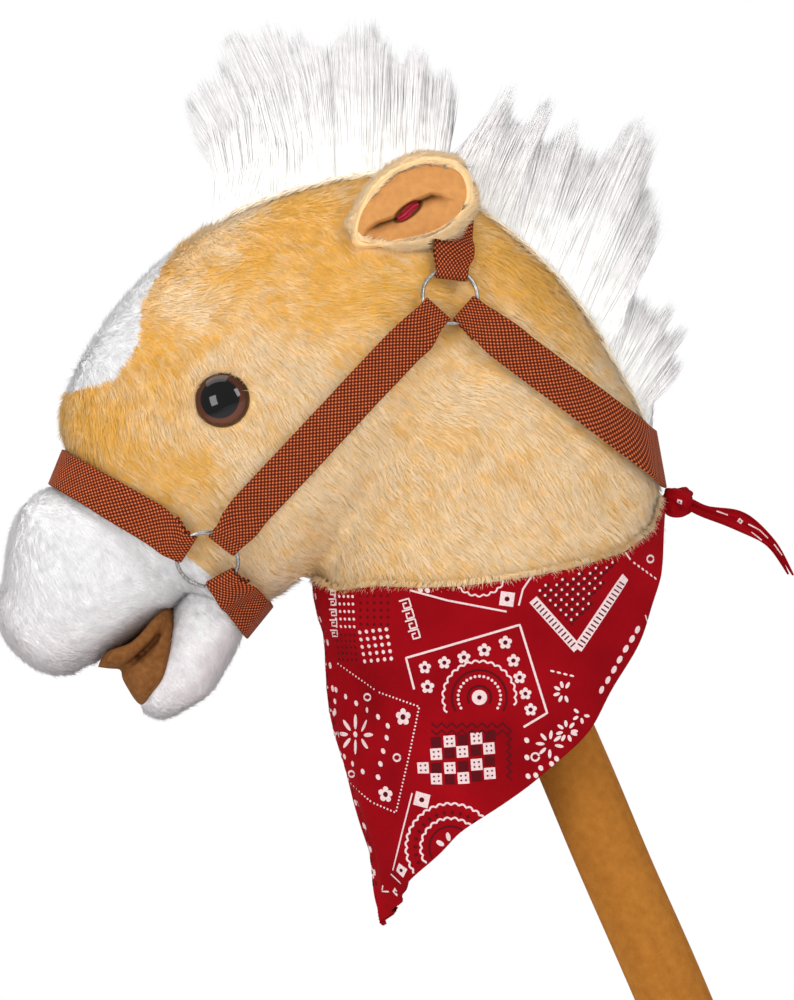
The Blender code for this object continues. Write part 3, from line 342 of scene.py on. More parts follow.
def bumped(tree, shader, height, distance, strength=1.0):
    """Lets a height stand on the surface as a bump."""
    bump = node(tree, "Bump", {"Height": height, "Distance": distance, "Strength": strength})
    tree.links.new(bump.outputs["Normal"], shader.inputs["Normal"])


def mottle(tree, scale, detail, place=None):
    """An uneven share from 0 to 1 over the piece, finer with a larger scale."""
    if place is None:
        place = node(tree, "TexCoord").outputs["Object"]
    return node(tree, "TexNoise", {"Vector": place, "Scale": scale, "Detail": detail}).outputs["Fac"]


def between(tree, share, low, high, start=0.0, end=1.0, **settings):
    """A share that runs from start to end, brought between low and high."""
    return node(tree, "MapRange", {"Value": share, "From Min": start, "From Max": end, "To Min": low,
                                   "To Max": high}, **settings).outputs["Result"]


def painted_over(tree, shader, name, tone):
    """Shows a piece's painted colours, each made lighter or darker by a tone."""
    colour = node(tree, "Attribute", attribute_name=name).outputs["Color"]
    tinted = node(tree, "VectorMath", {0: colour, "Scale": tone}, operation="SCALE").outputs[0]
    tree.links.new(tinted, shader.inputs["Base Color"])


backing, tree, shader = new_finish("knitted_backing", 0.95)
knit = mottle(tree, 900.0, 3.0)
painted_over(tree, shader, "cloth", between(tree, knit, 0.75, 1.1))
bumped(tree, shader, knit, 0.0006)
body_cloth.data.materials.append(backing)
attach(body_cloth, "horse")


# Lower jaw
# A small stuffed pad of white pile cloth, sewn below the muzzle; the mouth opens above it.
JAW_SECTIONS = (
    ((-0.117, -0.006), (-0.146, 0.010), 0.030),
    ((-0.128, -0.031), (-0.159, -0.006), 0.036),
    ((-0.142, -0.054), (-0.168, -0.024), 0.037),
    ((-0.159, -0.065), (-0.175, -0.041), 0.033),
)
jaw_cloth = sewn_together("stuffed_lower_jaw", [stuffed_form("jaw_form", JAW_SECTIONS, 0.0, 0.014)], 0.0024, 5)
places, normals = vertex_array(jaw_cloth.data, "co"), vertex_array(jaw_cloth.data, "normal")
places -= normals * WHITE_PILE
moved(jaw_cloth, places)
paint(jaw_cloth, "cloth", np.tile(white, (len(places), 1)))
jaw_cloth.data.materials.append(backing)
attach(jaw_cloth, "horse")


# Mouth lining
# Two leaves of tan suede cloth in the open mouth, one under the upper lip and one inside the lower
# lip, sewn together in its corner. They are drafted from the side, in half millimetres from the
# upper left corner of the drawing of the head.
DRAWING_LEFT, DRAWING_TOP, DRAWING_STEP = -0.2475, 0.2925, 0.0005
UPPER_LEAF = ((98, 667), (107, 651), (134, 640), (164, 608), (175, 611), (162, 633), (141, 654), (122, 668))
LOWER_LEAF = ((140, 656), (161, 634), (175, 611), (177, 642), (169, 678), (152, 699), (141, 705),
              (129, 690), (122, 671))


def drafted(line):
    """Places drafted in half millimetres from the drawing's upper left corner, as rows of x and z."""
    corner = np.array((DRAWING_LEFT, DRAWING_TOP))
    return corner + np.asarray(line, float) * np.array((DRAWING_STEP, -DRAWING_STEP))


def upright(x, y, z):
    """Places from rows of x, y and z of the head's frame."""
    return placed(np.stack(np.broadcast_arrays(x, y, z), axis=1))


def leaf(outline, half):
    """A padded leaf of cloth from its outline in the side view, with rounded sides."""
    flat = curve_through(drafted(outline + outline[:1]), 5)[:-1]
    middle, rings = flat.mean(axis=0), []
    for turn in np.linspace(-1.0, 1.0, 17) * math.radians(84.0):
        ring = middle + (flat - middle) * math.cos(turn) ** 0.35
        rings.append(upright(ring[:, 0], half * math.sin(turn), ring[:, 1]))
    return lofted("leaf", rings)


def dye_with(tree, shader, share, *stops):
    """Dyes the surface by a share, through tones that each have their place on it."""
    ramp = node(tree, "ValToRGB", {"Fac": share})
    for stop, (place, tone) in zip(ramp.color_ramp.elements, (stops[0], stops[-1])):
        stop.position, stop.color = place, (*tone, 1.0)
    for place, tone in stops[1:-1]:
        ramp.color_ramp.elements.new(place).color = (*tone, 1.0)
    tree.links.new(ramp.outputs["Color"], shader.inputs["Base Color"])


mouth = sewn_together("mouth_suede", [leaf(UPPER_LEAF, 0.0405), leaf(LOWER_LEAF, 0.0375)], 0.0011, 4)
mouth_dye, tree, shader = new_finish("tan_suede", 0.95, 0.05)
nap = mottle(tree, 320.0, 6.0)
dye_with(tree, shader, nap, (0.30, (0.155, 0.058, 0.016)), (0.72, (0.245, 0.100, 0.033)))
bumped(tree, shader, nap, 0.0004, 0.6)
mouth.data.materials.append(mouth_dye)
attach(mouth, "horse")
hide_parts("mouth_lining")


# Halter webbing
# Five straps of red-brown cotton webbing, 20 mm wide, each end folded round a wire ring and
# sewn down behind it. Rows are the webbing's two edges in millimetres, ring to middle.
NOSEBAND = (
    ((-130.8, -63.0, 724.8), (-142.8, -55.9, 716.9)), ((-130.8, -62.0, 729.1), (-145.1, -55.4, 719.0)),
    ((-134.4, -56.2, 739.4), (-149.9, -52.6, 726.8)), ((-139.7, -52.4, 747.0), (-155.0, -50.0, 734.1)),
    ((-145.9, -50.7, 755.1), (-161.4, -49.7, 742.4)), ((-152.4, -47.7, 763.6), (-168.5, -48.3, 751.6)),
    ((-159.0, -42.6, 772.0), (-175.5, -43.6, 760.7)), ((-165.2, -35.2, 780.0), (-181.0, -35.1, 767.7)),
    ((-170.7, -25.4, 786.8), (-185.4, -24.8, 773.3)), ((-173.2, -13.0, 790.1), (-187.5, -12.6, 775.9)),
    ((-174.4, 0.0, 791.6), (-188.5, 0.0, 777.2)),
)
CHIN_STRAP = (
    ((-130.3, -47.7, 691.1), (-115.2, -52.7, 692.5)), ((-129.6, -43.1, 684.0), (-109.8, -46.7, 687.0)),
    ((-128.1, -36.3, 680.5), (-108.5, -36.9, 684.3)), ((-127.1, -31.9, 676.3), (-107.7, -30.5, 681.3)),
    ((-126.1, -27.8, 671.8), (-107.0, -25.4, 678.0)), ((-125.3, -22.9, 668.0), (-106.6, -19.4, 676.5)),
    ((-124.9, -16.9, 666.3), (-106.5, -13.9, 675.9)), ((-124.6, -11.2, 664.9), (-106.3, -8.9, 675.3)),
    ((-124.6, -5.4, 664.8), (-106.2, -4.4, 674.8)), ((-124.6, 0.0, 664.7), (-106.2, 0.0, 674.4)),
)
CROWN_STRAP = (
    ((50.1, -50.7, 790.3), (36.4, -53.1, 798.1)), ((53.7, -46.5, 792.8), (37.4, -52.0, 803.8)),
    ((56.3, -41.8, 797.6), (40.5, -48.9, 810.8)), ((57.3, -36.0, 802.3), (42.1, -42.7, 816.6)),
    ((60.1, -32.4, 807.8), (45.6, -38.6, 823.4)), ((62.8, -27.8, 813.1), (48.3, -32.6, 828.9)),
    ((64.6, -21.6, 816.6), (50.9, -25.7, 833.8)), ((66.0, -14.7, 819.2), (52.7, -17.7, 837.3)),
    ((66.6, -7.4, 820.5), (53.8, -9.0, 839.3)), ((66.9, 0.0, 821.0), (54.3, 0.0, 840.3)),
)
NECK_STRAP = (
    ((36.0, -57.9, 763.1), (49.9, -53.5, 769.8)), ((40.8, -59.2, 748.4), (59.1, -55.0, 756.6)),
    ((47.8, -56.9, 735.7), (65.7, -51.7, 744.6)), ((54.2, -56.0, 724.6), (71.5, -48.7, 734.6)),
    ((60.5, -55.1, 713.9), (76.7, -45.9, 725.8)), ((67.2, -54.1, 702.4), (81.8, -43.1, 717.0)),
    ((75.2, -52.8, 688.6), (87.3, -39.7, 707.7)), ((82.8, -45.8, 675.3), (93.5, -35.2, 697.0)),
    ((91.5, -35.7, 661.2), (98.6, -25.9, 689.0)), ((95.1, -18.7, 654.1), (102.0, -13.9, 682.4)),
    ((97.5, 0.0, 650.7), (104.2, 0.0, 679.3)),
)
CHEEK_STRAP = (
    ((-107.9, -61.4, 706.8), (-115.4, -65.4, 720.3)), ((-98.9, -57.7, 709.6), (-106.9, -62.5, 728.0)),
    ((-91.5, -55.5, 713.8), (-99.4, -60.3, 732.1)), ((-84.2, -56.5, 716.9), (-92.2, -61.2, 735.3)),
    ((-77.0, -57.5, 720.0), (-85.0, -62.1, 738.4)), ((-69.8, -58.5, 723.1), (-77.8, -62.8, 741.5)),
    ((-62.6, -59.2, 726.2), (-70.5, -63.3, 744.6)), ((-55.3, -59.7, 729.4), (-63.3, -63.4, 747.8)),
    ((-48.2, -60.0, 732.6), (-56.1, -63.3, 751.0)), ((-41.0, -60.3, 735.8), (-48.9, -63.2, 754.1)),
    ((-33.8, -60.3, 738.9), (-41.7, -63.1, 757.2)), ((-26.6, -60.0, 742.1), (-34.6, -62.6, 760.4)),
    ((-19.5, -59.5, 745.3), (-27.4, -61.8, 763.6)), ((-12.3, -58.7, 748.4), (-20.2, -61.1, 766.7)),
    ((-5.0, -57.4, 751.5), (-13.0, -60.6, 769.9)), ((2.2, -56.2, 754.6), (-5.8, -59.6, 773.0)),
    ((9.5, -55.5, 757.7), (1.5, -58.9, 776.0)), ((17.5, -57.8, 760.6), (9.6, -61.1, 778.9)),
    ((25.6, -59.9, 767.2), (19.0, -59.6, 781.7)),
)
CHEEK_RING = (np.array((0.0356, -0.0534, 0.7804)), np.array((0.2394, -0.9623, 0.1287)), 0.01375)
JAW_RING = (np.array((-0.1257, -0.0545, 0.7084)), np.array((-0.2548, -0.8795, -0.4020)), 0.01525)
WIRE_DIAMETER = 0.0020
WEBBING_WIDTH, WEBBING_THICKNESS, WEBBING_TAIL = 0.020, 0.0015, 0.024
WEBBING_RIBS, WEBBING_PICKS = 9.0, 8.0
MIRROR = np.array((1.0, -1.0, 1.0))
straps = []


def other_side(ring):
    """The ring on the horse's right side that matches one on its left."""
    return ring[0] * MIRROR, ring[1] * MIRROR, ring[2]


def folded_webbing(rows, ring):
    """The rows of a strap's tail and of its fold round a ring, ending where the strap's rows begin."""
    centre, axis, radius = ring
    pocket = (WIRE_DIAMETER + WEBBING_THICKNESS) / 2.0 + 0.0004
    toward = rows[0].mean(axis=0) - centre
    toward = unit(toward - axis * (toward @ axis))
    beside = np.cross(axis, toward)
    beside *= np.sign(beside @ (rows[0][1] - rows[0][0]))
    half = np.linalg.norm(rows[0][1] - rows[0][0]) / 2.0
    chord = math.sqrt(radius**2 - half**2)
    edges = np.stack((-beside * half, beside * half))
    near = [row for row in rows if np.linalg.norm(row.mean(axis=0) - centre) < WEBBING_TAIL]
    found = [row - axis * 2.0 * pocket for row in reversed(near)]
    for turn in np.linspace(math.pi, 0.0, 11):
        middle = centre + toward * (chord - pocket * math.sin(turn)) + axis * pocket * math.cos(turn)
        found.append(middle + edges)
    return found


def whole(half):
    """A strap's rows over both sides of the head, from those of its left half."""
    half = np.array(half)
    return np.concatenate((half, half[-2::-1] * MIRROR))


def woven_quads(rows, columns, closed):
    """The faces between rows of places; where closed, each row's end meets its start."""
    row, column = np.meshgrid(np.arange(rows - 1), np.arange(columns if closed else columns - 1), indexing="ij")
    here, beside = row * columns + column, row * columns + (column + 1) % columns
    return np.stack((here, beside, beside + columns, here + columns), axis=-1).reshape(-1, 4)


def strap_of(stands_for, table, first_ring, last_ring):
    """A strap from its edge rows: folded at both rings, with rounded edges and a map in metres."""
    rows = curve_through(np.array(table) / 1000.0, 6)
    front = folded_webbing(rows, first_ring)
    back = folded_webbing(rows[::-1], last_ring)[::-1]
    rows = np.array(front + list(rows) + back)
    middle = rows.mean(axis=1)
    distance = np.concatenate(([0.0], np.cumsum(np.linalg.norm(np.diff(middle, axis=0), axis=1))))
    keep = np.concatenate(([True], np.diff(distance) > 1e-5))
    rows, distance = rows[keep], distance[keep]
    fine = np.arange(0.0, distance[-1], 0.0006)
    rows = np.stack([[np.interp(fine, distance, rows[:, edge, axis]) for axis in range(3)]
                     for edge in range(2)])
    rows = rows.transpose(2, 0, 1)
    for _ in range(3):
        rows[1:-1] = rows[1:-1] / 2.0 + (rows[:-2] + rows[2:]) / 4.0
    middle = rows.mean(axis=1)
    across = rows[:, 1] - rows[:, 0]
    ahead = unit(np.gradient(middle, axis=0))
    face = unit(np.cross(ahead, across))
    heart = np.array((middle[:, 0].mean(), 0.0, middle[:, 2].mean()))
    best = len(middle) // 2
    if face[best] @ (middle[best] - heart) < 0.0:
        face = -face
    profile = [(-1.0, 0.0), (-0.985, 0.7), (-0.95, 1.0)]
    profile += [(share, 1.0) for share in np.linspace(-0.78, 0.78, 9)]
    profile += [(0.95, 1.0), (0.985, 0.7), (1.0, 0.0), (0.985, -0.7), (0.95, -1.0)]
    profile += [(share, -1.0) for share in np.linspace(0.78, -0.78, 5)]
    profile += [(-0.95, -1.0), (-0.985, -0.7)]
    sides = len(profile)
    points = np.stack([middle + across * share / 2.0 + face * high * WEBBING_THICKNESS / 2.0
                       for share, high in profile], axis=1)
    count = len(points)
    strap = piece_of(stands_for + "_webbing", points, woven_quads(count, sides, True))
    lengths = np.concatenate(([0.0], np.cumsum(np.linalg.norm(np.diff(middle, axis=0), axis=1))))
    form = bmesh.new()
    form.from_mesh(strap.data)
    form.verts.ensure_lookup_table()
    for ring in (0, count - 1):
        form.faces.new([form.verts[ring * sides + side] for side in range(sides)])
    bmesh.ops.recalc_face_normals(form, faces=form.faces[:])
    layer = form.loops.layers.uv.new("UVMap")
    for face_ in form.faces:
        for loop in face_.loops:
            ring, side = divmod(loop.vert.index, sides)
            loop[layer].uv = ((profile[side][0] + 1.0) / 2.0, lengths[ring] / WEBBING_WIDTH)
    form.to_mesh(strap.data)
    strap.data.materials.append(webbing)
    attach(strap, "horse")
    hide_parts(stands_for)
    straps.append(strap)


def reckoned(tree, operation, *values):
    """What a material works out from one or two values."""
    return node(tree, "Math", dict(enumerate(values)), operation=operation).outputs[0]


webbing, tree, shader = new_finish("red_brown_webbing", 0.70, 0.08)
chart = node(tree, "SeparateXYZ", {"Vector": node(tree, "UVMap").outputs["UV"]})
rib, pick = (
    reckoned(tree, "COSINE", reckoned(tree, "MULTIPLY", chart.outputs[way], math.tau * count))
    for way, count in (("X", WEBBING_RIBS), ("Y", WEBBING_PICKS))
)
# Painted light and shade of the weave: where the threads cross over they get bright painted highlights, and the
# gaps between them get painted shade. A random mottle is added, and the same pattern also makes the bump.
lit_weave = between(tree, reckoned(tree, "MULTIPLY", rib, pick), 0.0, 1.0, -0.40, 0.80,
                interpolation_type="SMOOTHSTEP")
lit_weave_and_mottle = reckoned(tree, "ADD", lit_weave, between(tree, mottle(tree, 420.0, 4.0), -0.22, 0.22))
dye_with(tree, shader, lit_weave_and_mottle, (0.05, (0.075, 0.014, 0.005)), (0.5, (0.26, 0.038, 0.011)),
         (1.0, (0.70, 0.165, 0.055)))
bumped(tree, shader, lit_weave_and_mottle, 0.0005, 0.9)

snug = tightened(np.array(NOSEBAND).reshape(-1, 3) / 1000.0).reshape(-1, 2, 3) * 1000.0
for name, half, ring in (("noseband", snug, JAW_RING), ("chin_strap", CHIN_STRAP, JAW_RING),
                         ("crown_strap", CROWN_STRAP, CHEEK_RING), ("neck_strap", NECK_STRAP, CHEEK_RING)):
    strap_of(name, whole(half), ring, other_side(ring))
strap_of("left_cheek_strap", CHEEK_STRAP, JAW_RING, CHEEK_RING)
strap_of("right_cheek_strap", np.array(CHEEK_STRAP) * MIRROR, other_side(JAW_RING), other_side(CHEEK_RING))


# Neckerchief
# A square of printed cotton folded to a triangle, wrapped round the neck over the pile with its
# point hanging in front, and tied behind; its raw edges are turned and sewn in a narrow hem.
SCARF_HANG = np.array((0.038, 0.0, -0.177))
SCARF_TIP, SCARF_WRAP, SCARF_BELLY = 0.965, 0.925, 1.38
SCARF_COLUMNS, SCARF_ROWS = 264, 100
SCARF_THICKNESS = 0.0006
SCARF_TOP_EDGE = (
    (-1.0, -0.95, -0.853, -0.627, -0.40, -0.175, 0.05, 0.277, 0.503, 0.729, 0.904, 0.972, 1.0),
    (0.0025, 0.0008, -0.0027, 0.0, -0.0010, 0.0, 0.0025, 0.0055, 0.0100, 0.0165, 0.0280, 0.0430, 0.0450),
)


def scarf_grid():
    """Rows of places of the neckerchief, from its top edge down to its point."""
    drop = np.linspace(0.0, SCARF_TIP, SCARF_ROWS + 1)[:, None]
    span = SCARF_WRAP * (1.0 - drop**SCARF_BELLY) - 0.052 * np.exp(-(((drop - 0.68) / 0.13) ** 2))
    span = span + 0.060 * np.exp(-drop / 0.06)
    wrap = span * np.linspace(-1.0, 1.0, SCARF_COLUMNS + 1)[None, :]
    angle = math.pi * wrap
    height = 0.023 - 0.022 * np.cos(angle) - 0.022 * np.sin(angle) ** 2
    worn = np.interp(-np.cos(angle), *SCARF_TOP_EDGE)
    height = worn + (height - worn) * soft_step(drop, 0.0, 0.35)
    half_width = 0.0600 - 0.016 * drop
    centre = np.stack((np.full_like(height, -0.002), np.zeros_like(height), height), axis=-1)
    centre = centre + SCARF_HANG * drop[..., None]
    depth = 0.0850 + 0.0035 * soft_step(drop, 0.0, 0.2)
    offset = np.stack((-depth * np.cos(angle), half_width * np.sin(angle), np.zeros_like(angle)), axis=-1)
    fold = 0.0022 * np.sin(3.0 * math.tau * np.abs(wrap) + 7.0 * drop)
    reach = np.linalg.norm(offset, axis=-1) + fold * soft_step(drop * 3.0)
    outward = unit(offset)
    turned = outward @ head_turn.T
    start = placed(centre + outward * 0.5)
    for index in np.ndindex(reach.shape):
        hit = neck_surface.ray_cast(start[index].tolist(), (-turned[index]).tolist(), 0.5)[3]
        if hit is not None:
            reach[index] = max(reach[index], 0.5 - hit + 0.0014)
    for _ in range(6):
        reach[1:-1] = reach[1:-1] / 2.0 + (reach[:-2] + reach[2:]) / 4.0
        reach[:, 1:-1] = reach[:, 1:-1] / 2.0 + (reach[:, :-2] + reach[:, 2:]) / 4.0
    return centre, outward, reach, wrap, drop + np.zeros_like(wrap)


def walled(sheet, thickness):
    """Gives a sheet its thickness, on its inner side."""
    wall = sheet.modifiers.new("wall", "SOLIDIFY")
    wall.thickness = thickness
    wall.offset = -1.0
    apply_modifiers(sheet)


centre, outward, reach, wrap, drop = scarf_grid()
fall = soft_step(drop, 0.08, 0.5)
belly = 0.0072 * np.exp(-(((drop - 0.50) / 0.20) ** 2)) * np.maximum(np.cos(math.pi * wrap), 0.0)
crumple = 0.0013 * np.sin(110.0 * wrap + 22.0 * drop) * soft_step(drop, 0.80, 0.93)
creases = belly + crumple + 0.0016 * np.sin(26.0 * wrap + 9.0 * drop) * fall
creases = creases + 0.0009 * np.sin(61.0 * wrap - 15.0 * drop + 1.0) * fall
scarf_places = placed(centre + outward * (reach + creases)[..., None])
scarf_quads = woven_quads(SCARF_ROWS + 1, SCARF_COLUMNS + 1, False)
scarf_edge, scarf_facing = scarf_places[0], outward[0] @ head_turn.T
scarf = piece_of("neckerchief", scarf_places, scarf_quads)
cotton, tree, shader = new_finish("printed_cotton", 0.8, 0.03)
dye_with(tree, shader, mottle(tree, 30.0, 5.0), (0.3, (0.215, 0.002, 0.005)), (0.7, (0.305, 0.003, 0.007)))
bumped(tree, shader, mottle(tree, 1600.0, 2.0), 0.0003, 0.5)
scarf.data.materials.append(cotton)
walled(scarf, SCARF_THICKNESS)
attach(scarf, "horse")
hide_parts("bandana")

for label, edge, inner in (("left", 0, 1), ("right", -1, -2)):
    outer, inward = scarf_places[:, edge], unit(scarf_places[:, inner] - scarf_places[:, edge])
    facing = unit(np.cross(inward, np.gradient(outer, axis=0))) * (1.0 if label == "left" else -1.0)
    facing *= np.sign(np.sum(facing * (outward[:, edge] @ head_turn.T), axis=1, keepdims=True))
    section = ((0.0003, -0.0004), (0.0042, -0.0005), (0.0046, -0.0008), (0.0042, -0.0012), (0.0003, -0.0012))
    rings = [outer + inward * across + facing * depth for across, depth in section]
    hem = lofted("neckerchief_hem_" + label, np.stack(rings, axis=1)[:-3])
    hem.data.materials.append(cotton)
    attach(hem, "horse")
    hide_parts("bandana")


# Short pile
# Plush fibres, about seven millimetres long on the golden cloth and five to six on the white, in
# small tufts that lie back and down as the cloth was brushed. Straps and scarf press it flat.
EARS = ("left_ear", "right_ear", "left_ear_lining", "right_ear_lining")


def tree_of(names, pieces=()):
    """A search tree over CAD nodes and pieces, for where rays meet them."""
    points, faces = [], []
    for mesh in [frame["nodes"][name].data for name in names] + [piece.data for piece in pieces]:
        start = sum(len(block) for block in points)
        points.append(vertex_array(mesh, "co"))
        mesh.calc_loop_triangles()
        corners = np.empty(len(mesh.loop_triangles) * 3, np.int32)
        mesh.loop_triangles.foreach_get("vertices", corners)
        faces.append(corners.reshape(-1, 3) + start)
    return BVHTree.FromPolygons(np.vstack(points).tolist(), np.vstack(faces).tolist())


def scatter(mesh, per_area, rng):
    """Places spread at random over a mesh, and the outward direction at each."""
    mesh.calc_loop_triangles()
    corners = np.empty(len(mesh.loop_triangles) * 3, np.int32)
    mesh.loop_triangles.foreach_get("vertices", corners)
    corners = corners.reshape(-1, 3)
    places, normals = vertex_array(mesh, "co"), vertex_array(mesh, "normal")
    a, b, c = (places[corners[:, side]] for side in range(3))
    areas = np.linalg.norm(np.cross(b - a, c - a), axis=1) / 2.0
    chosen = rng.choice(len(corners), int(areas.sum() * per_area), p=areas / areas.sum())
    first, second = rng.random((2, len(chosen), 1))
    over = (first + second) > 1.0
    first, second = np.where(over, 1.0 - first, first), np.where(over, 1.0 - second, second)
    mix = [1.0 - first - second, first, second]
    found = sum(share * places[corners[chosen, side]] for side, share in enumerate(mix))
    outward = unit(sum(share * normals[corners[chosen, side]] for side, share in enumerate(mix)))
    return found, outward


def gathered(roots, tips, size, strength, rng):
    """Fibre tips drawn together into tufts of about the given size; also each fibre's tuft."""
    leaders = rng.choice(len(roots), max(1, int(len(roots) * 0.10)), replace=False)
    finder = KDTree(len(leaders))
    for index, leader in enumerate(leaders):
        finder.insert(roots[leader], index)
    finder.balance()
    tuft = np.array([finder.find(root)[1] for root in roots])
    leader = leaders[tuft]
    near = np.linalg.norm(roots - roots[leader], axis=1) < size
    pull = strength * rng.uniform(0.5, 1.0, len(roots)) * near
    return tips + (tips[leader] - tips) * pull[:, None], tuft


def fibres(name, roots, outward, tips, width, root_colour, tip_colour, finish):
    """Thin closed blades from roots to tips, flat side out, shaded from end to end."""
    way = unit(tips - roots)
    beside = unit(np.cross(outward, way)) * width[:, None] / 2.0
    above = unit(np.cross(way, beside)) * width[:, None] / 4.0
    points = np.stack((roots + beside + above, roots - beside + above, roots - above * 2.0, tips), axis=1)
    pattern = np.array(((1, 0, 2), (0, 1, 3), (1, 2, 3), (2, 0, 3)))
    faces = (np.arange(len(roots))[:, None, None] * 4 + pattern).reshape(-1, 3)
    piece = piece_of(name, points, faces)
    normals = unit(outward[:, None] * 1.5 + unit(points - (roots - above)[:, None]))
    piece.data.normals_split_custom_set_from_vertices(normals.reshape(-1, 3).tolist())
    colours = np.empty((len(roots), 4, 3))
    colours[:, :3] = root_colour[:, None]
    colours[:, 3] = tip_colour
    paint(piece, "pile", colours.reshape(-1, 3))
    piece.data.materials.append(finish)
    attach(piece, "horse")
    return piece


def pressed(roots, tips, covers, keep_near=0.0009):
    """Fibres cut short where they would meet what lies on them; which ones still show; their tips."""
    way = tips - roots
    lengths = np.linalg.norm(way, axis=1)
    way = way / lengths[:, None]
    kept = np.ones(len(roots), bool)
    for index, (root, step, length) in enumerate(zip(roots.tolist(), way.tolist(), lengths.tolist())):
        distance = covers.ray_cast(root, step, length + 0.002)[3]
        if distance is not None:
            lengths[index] = distance * 0.8
            kept[index] = distance * 0.8 > keep_near
    return kept, roots + way * lengths[:, None]


pile, tree, shader = new_finish("plush_pile", 0.80)
# Painted sheen: in soft patches the pile's colours are made from 0.90 to 1.08 times as bright, as where the nap
# catches the light.
painted_over(tree, shader, "pile", between(tree, mottle(tree, 160.0, 4.0), 0.90, 1.08, 0.3, 0.7))
shader.inputs["Sheen Weight"].default_value = 0.25
shader.inputs["Sheen Roughness"].default_value = 0.5

rng = np.random.default_rng(11)
covers = tree_of(EARS + ("left_eye", "right_eye", "bandana_knot"), straps + [scarf, mouth])
scarf_cover = tree_of((), [scarf])
ear_cover = tree_of(EARS)


def uncovered(roots, outward, cover, reach):
    """Which places aren't under a cover within reach."""
    return np.array([
        cover.ray_cast(root, way, reach)[0] is None for root, way in zip(roots.tolist(), outward.tolist())
    ])


def brushed(roots, outward, length, lean, rng):
    """Tips of fibres that stand on the cloth and lean back and down, each a little its own way."""
    flat = level(roots)
    comb = np.empty_like(flat)
    swirl = waves(roots, 0.045, 21) * 0.35
    comb[:, 0] = 0.78 + 0.3 * swirl
    comb[:, 1] = np.sign(flat[:, 1]) * 0.15
    comb[:, 2] = -0.62 * soft_step(-flat[:, 2], -0.21, -0.08) - 0.18 + swirl
    comb = comb @ head_turn.T
    along = unit(comb - outward * np.sum(comb * outward, axis=1, keepdims=True))
    leaned = lean + rng.normal(0.0, 0.16, len(roots))
    way = outward * np.cos(leaned)[:, None] + along * np.sin(leaned)[:, None]
    way = unit(way + rng.normal(0.0, 0.13, way.shape))
    return roots + way * length[:, None]


PALE_PATCHES = (
    (215, 228, 24, 0.75), (243, 216, 18, 0.75), (262, 204, 12, 0.6), (188, 262, 13, 0.5), (172, 302, 20, 0.65),
    (200, 300, 20, 0.6), (196, 328, 13, 0.5), (226, 256, 13, 0.5), (214, 362, 12, 0.45), (262, 352, 16, 0.4),
    (300, 380, 30, 0.30), (345, 430, 40, 0.22), (300, 235, 42, -0.30), (150, 350, 24, -0.30),
    (105, 430, 40, -0.20),
    (330, 295, 34, -0.25), (528, 275, 30, -0.45), (556, 335, 24, -0.35), (195, 470, 40, -0.20),
)


def golden_colours(roots, tuft, rng):
    """Root and tip colours of the golden pile: cream over gold, mottled tuft by tuft."""
    flat = level(roots)
    deep, gold, cream = np.array(((0.88, 0.42, 0.07), (0.97, 0.54, 0.10), (0.99, 0.82, 0.60)))
    tuft_tone = rng.normal(0.0, 0.16, tuft.max() + 1)[tuft]
    low = soft_step(-flat[:, 2], -0.160, -0.090) * soft_step(flat[:, 0], -0.20, -0.12)
    patches = waves(roots, 0.030, 5) * 0.16 + waves(roots, 0.009, 6) * 0.12
    u, v = (flat[:, 0] - DRAWING_LEFT) / DRAWING_STEP, (DRAWING_TOP - flat[:, 2]) / DRAWING_STEP
    for u0, v0, radius, strength in PALE_PATCHES:
        patches = patches + strength * np.exp(-((u - u0) ** 2 + (v - v0) ** 2) / radius**2)
    share = np.clip(0.20 + 0.62 * low + patches + tuft_tone + rng.normal(0.0, 0.09, len(roots)), 0.0, 1.0)
    tips = gold + (cream - gold) * share[:, None]
    roots_ = deep + (gold - deep) * (0.3 + 0.5 * share[:, None]) + (cream - gold) * 0.45 * share[:, None]
    return roots_, tips


def white_colours(roots, tuft, rng):
    """Root and tip colours of the white pile, with a painted pinkish-grey shade low on the muzzle and at the
    nose's front end.
    """
    tone = 1.0 + rng.normal(0.0, 0.02, tuft.max() + 1)[tuft] + rng.normal(0.0, 0.012, len(roots))
    flat = level(roots)
    # Painted shade: a pinkish-grey darkening towards the muzzle's underside and the nose's front end, where
    # less light falls.
    pinkish_shade = (soft_step(-flat[:, 2], -0.010, 0.042) * 0.8 + 0.5 * soft_step(-flat[:, 0], 0.222, 0.250))[:, None]
    root_tone = (np.array((0.965, 0.950, 0.955)) - pinkish_shade * np.array((0.0, 0.055, 0.045))) * tone[:, None]
    tip_tone = (np.array((0.985, 0.980, 0.985)) - pinkish_shade * np.array((0.0, 0.060, 0.050))) * tone[:, None]
    return np.minimum(root_tone, 0.985), np.minimum(tip_tone, 0.985)


def grow_pile(names, cloth, chosen, per_area, length, lean, width, colours, stands_for, tuft_size, tuft_pull):
    """Grows the pile on the part of a cloth that chosen picks, in one piece to each name."""
    roots, outward = scatter(cloth.data, per_area, rng)
    keep = chosen(level(roots))
    roots, outward = roots[keep], outward[keep]
    keep = uncovered(roots, outward, scarf_cover, 0.050) & uncovered(roots, outward, ear_cover, 0.060)
    roots, outward = roots[keep], outward[keep]
    lengths = length * rng.uniform(0.78, 1.12, len(roots))
    tips = brushed(roots, outward, lengths, lean, rng)
    tips, tuft = gathered(roots, tips, tuft_size, tuft_pull, rng)
    kept, tips = pressed(roots, tips, covers)
    root_colour, tip_colour = colours(roots, tuft, rng)
    widths = width * rng.uniform(0.75, 1.2, len(roots))
    side = level(roots)[:, 1]
    for index, name in enumerate(names):
        mine = kept & ((side < 0.0) == (index == 0) if len(names) > 1 else True)
        piece = fibres(name, roots[mine], outward[mine], tips[mine], widths[mine], root_colour[mine],
                       tip_colour[mine], pile)
        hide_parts(stands_for)


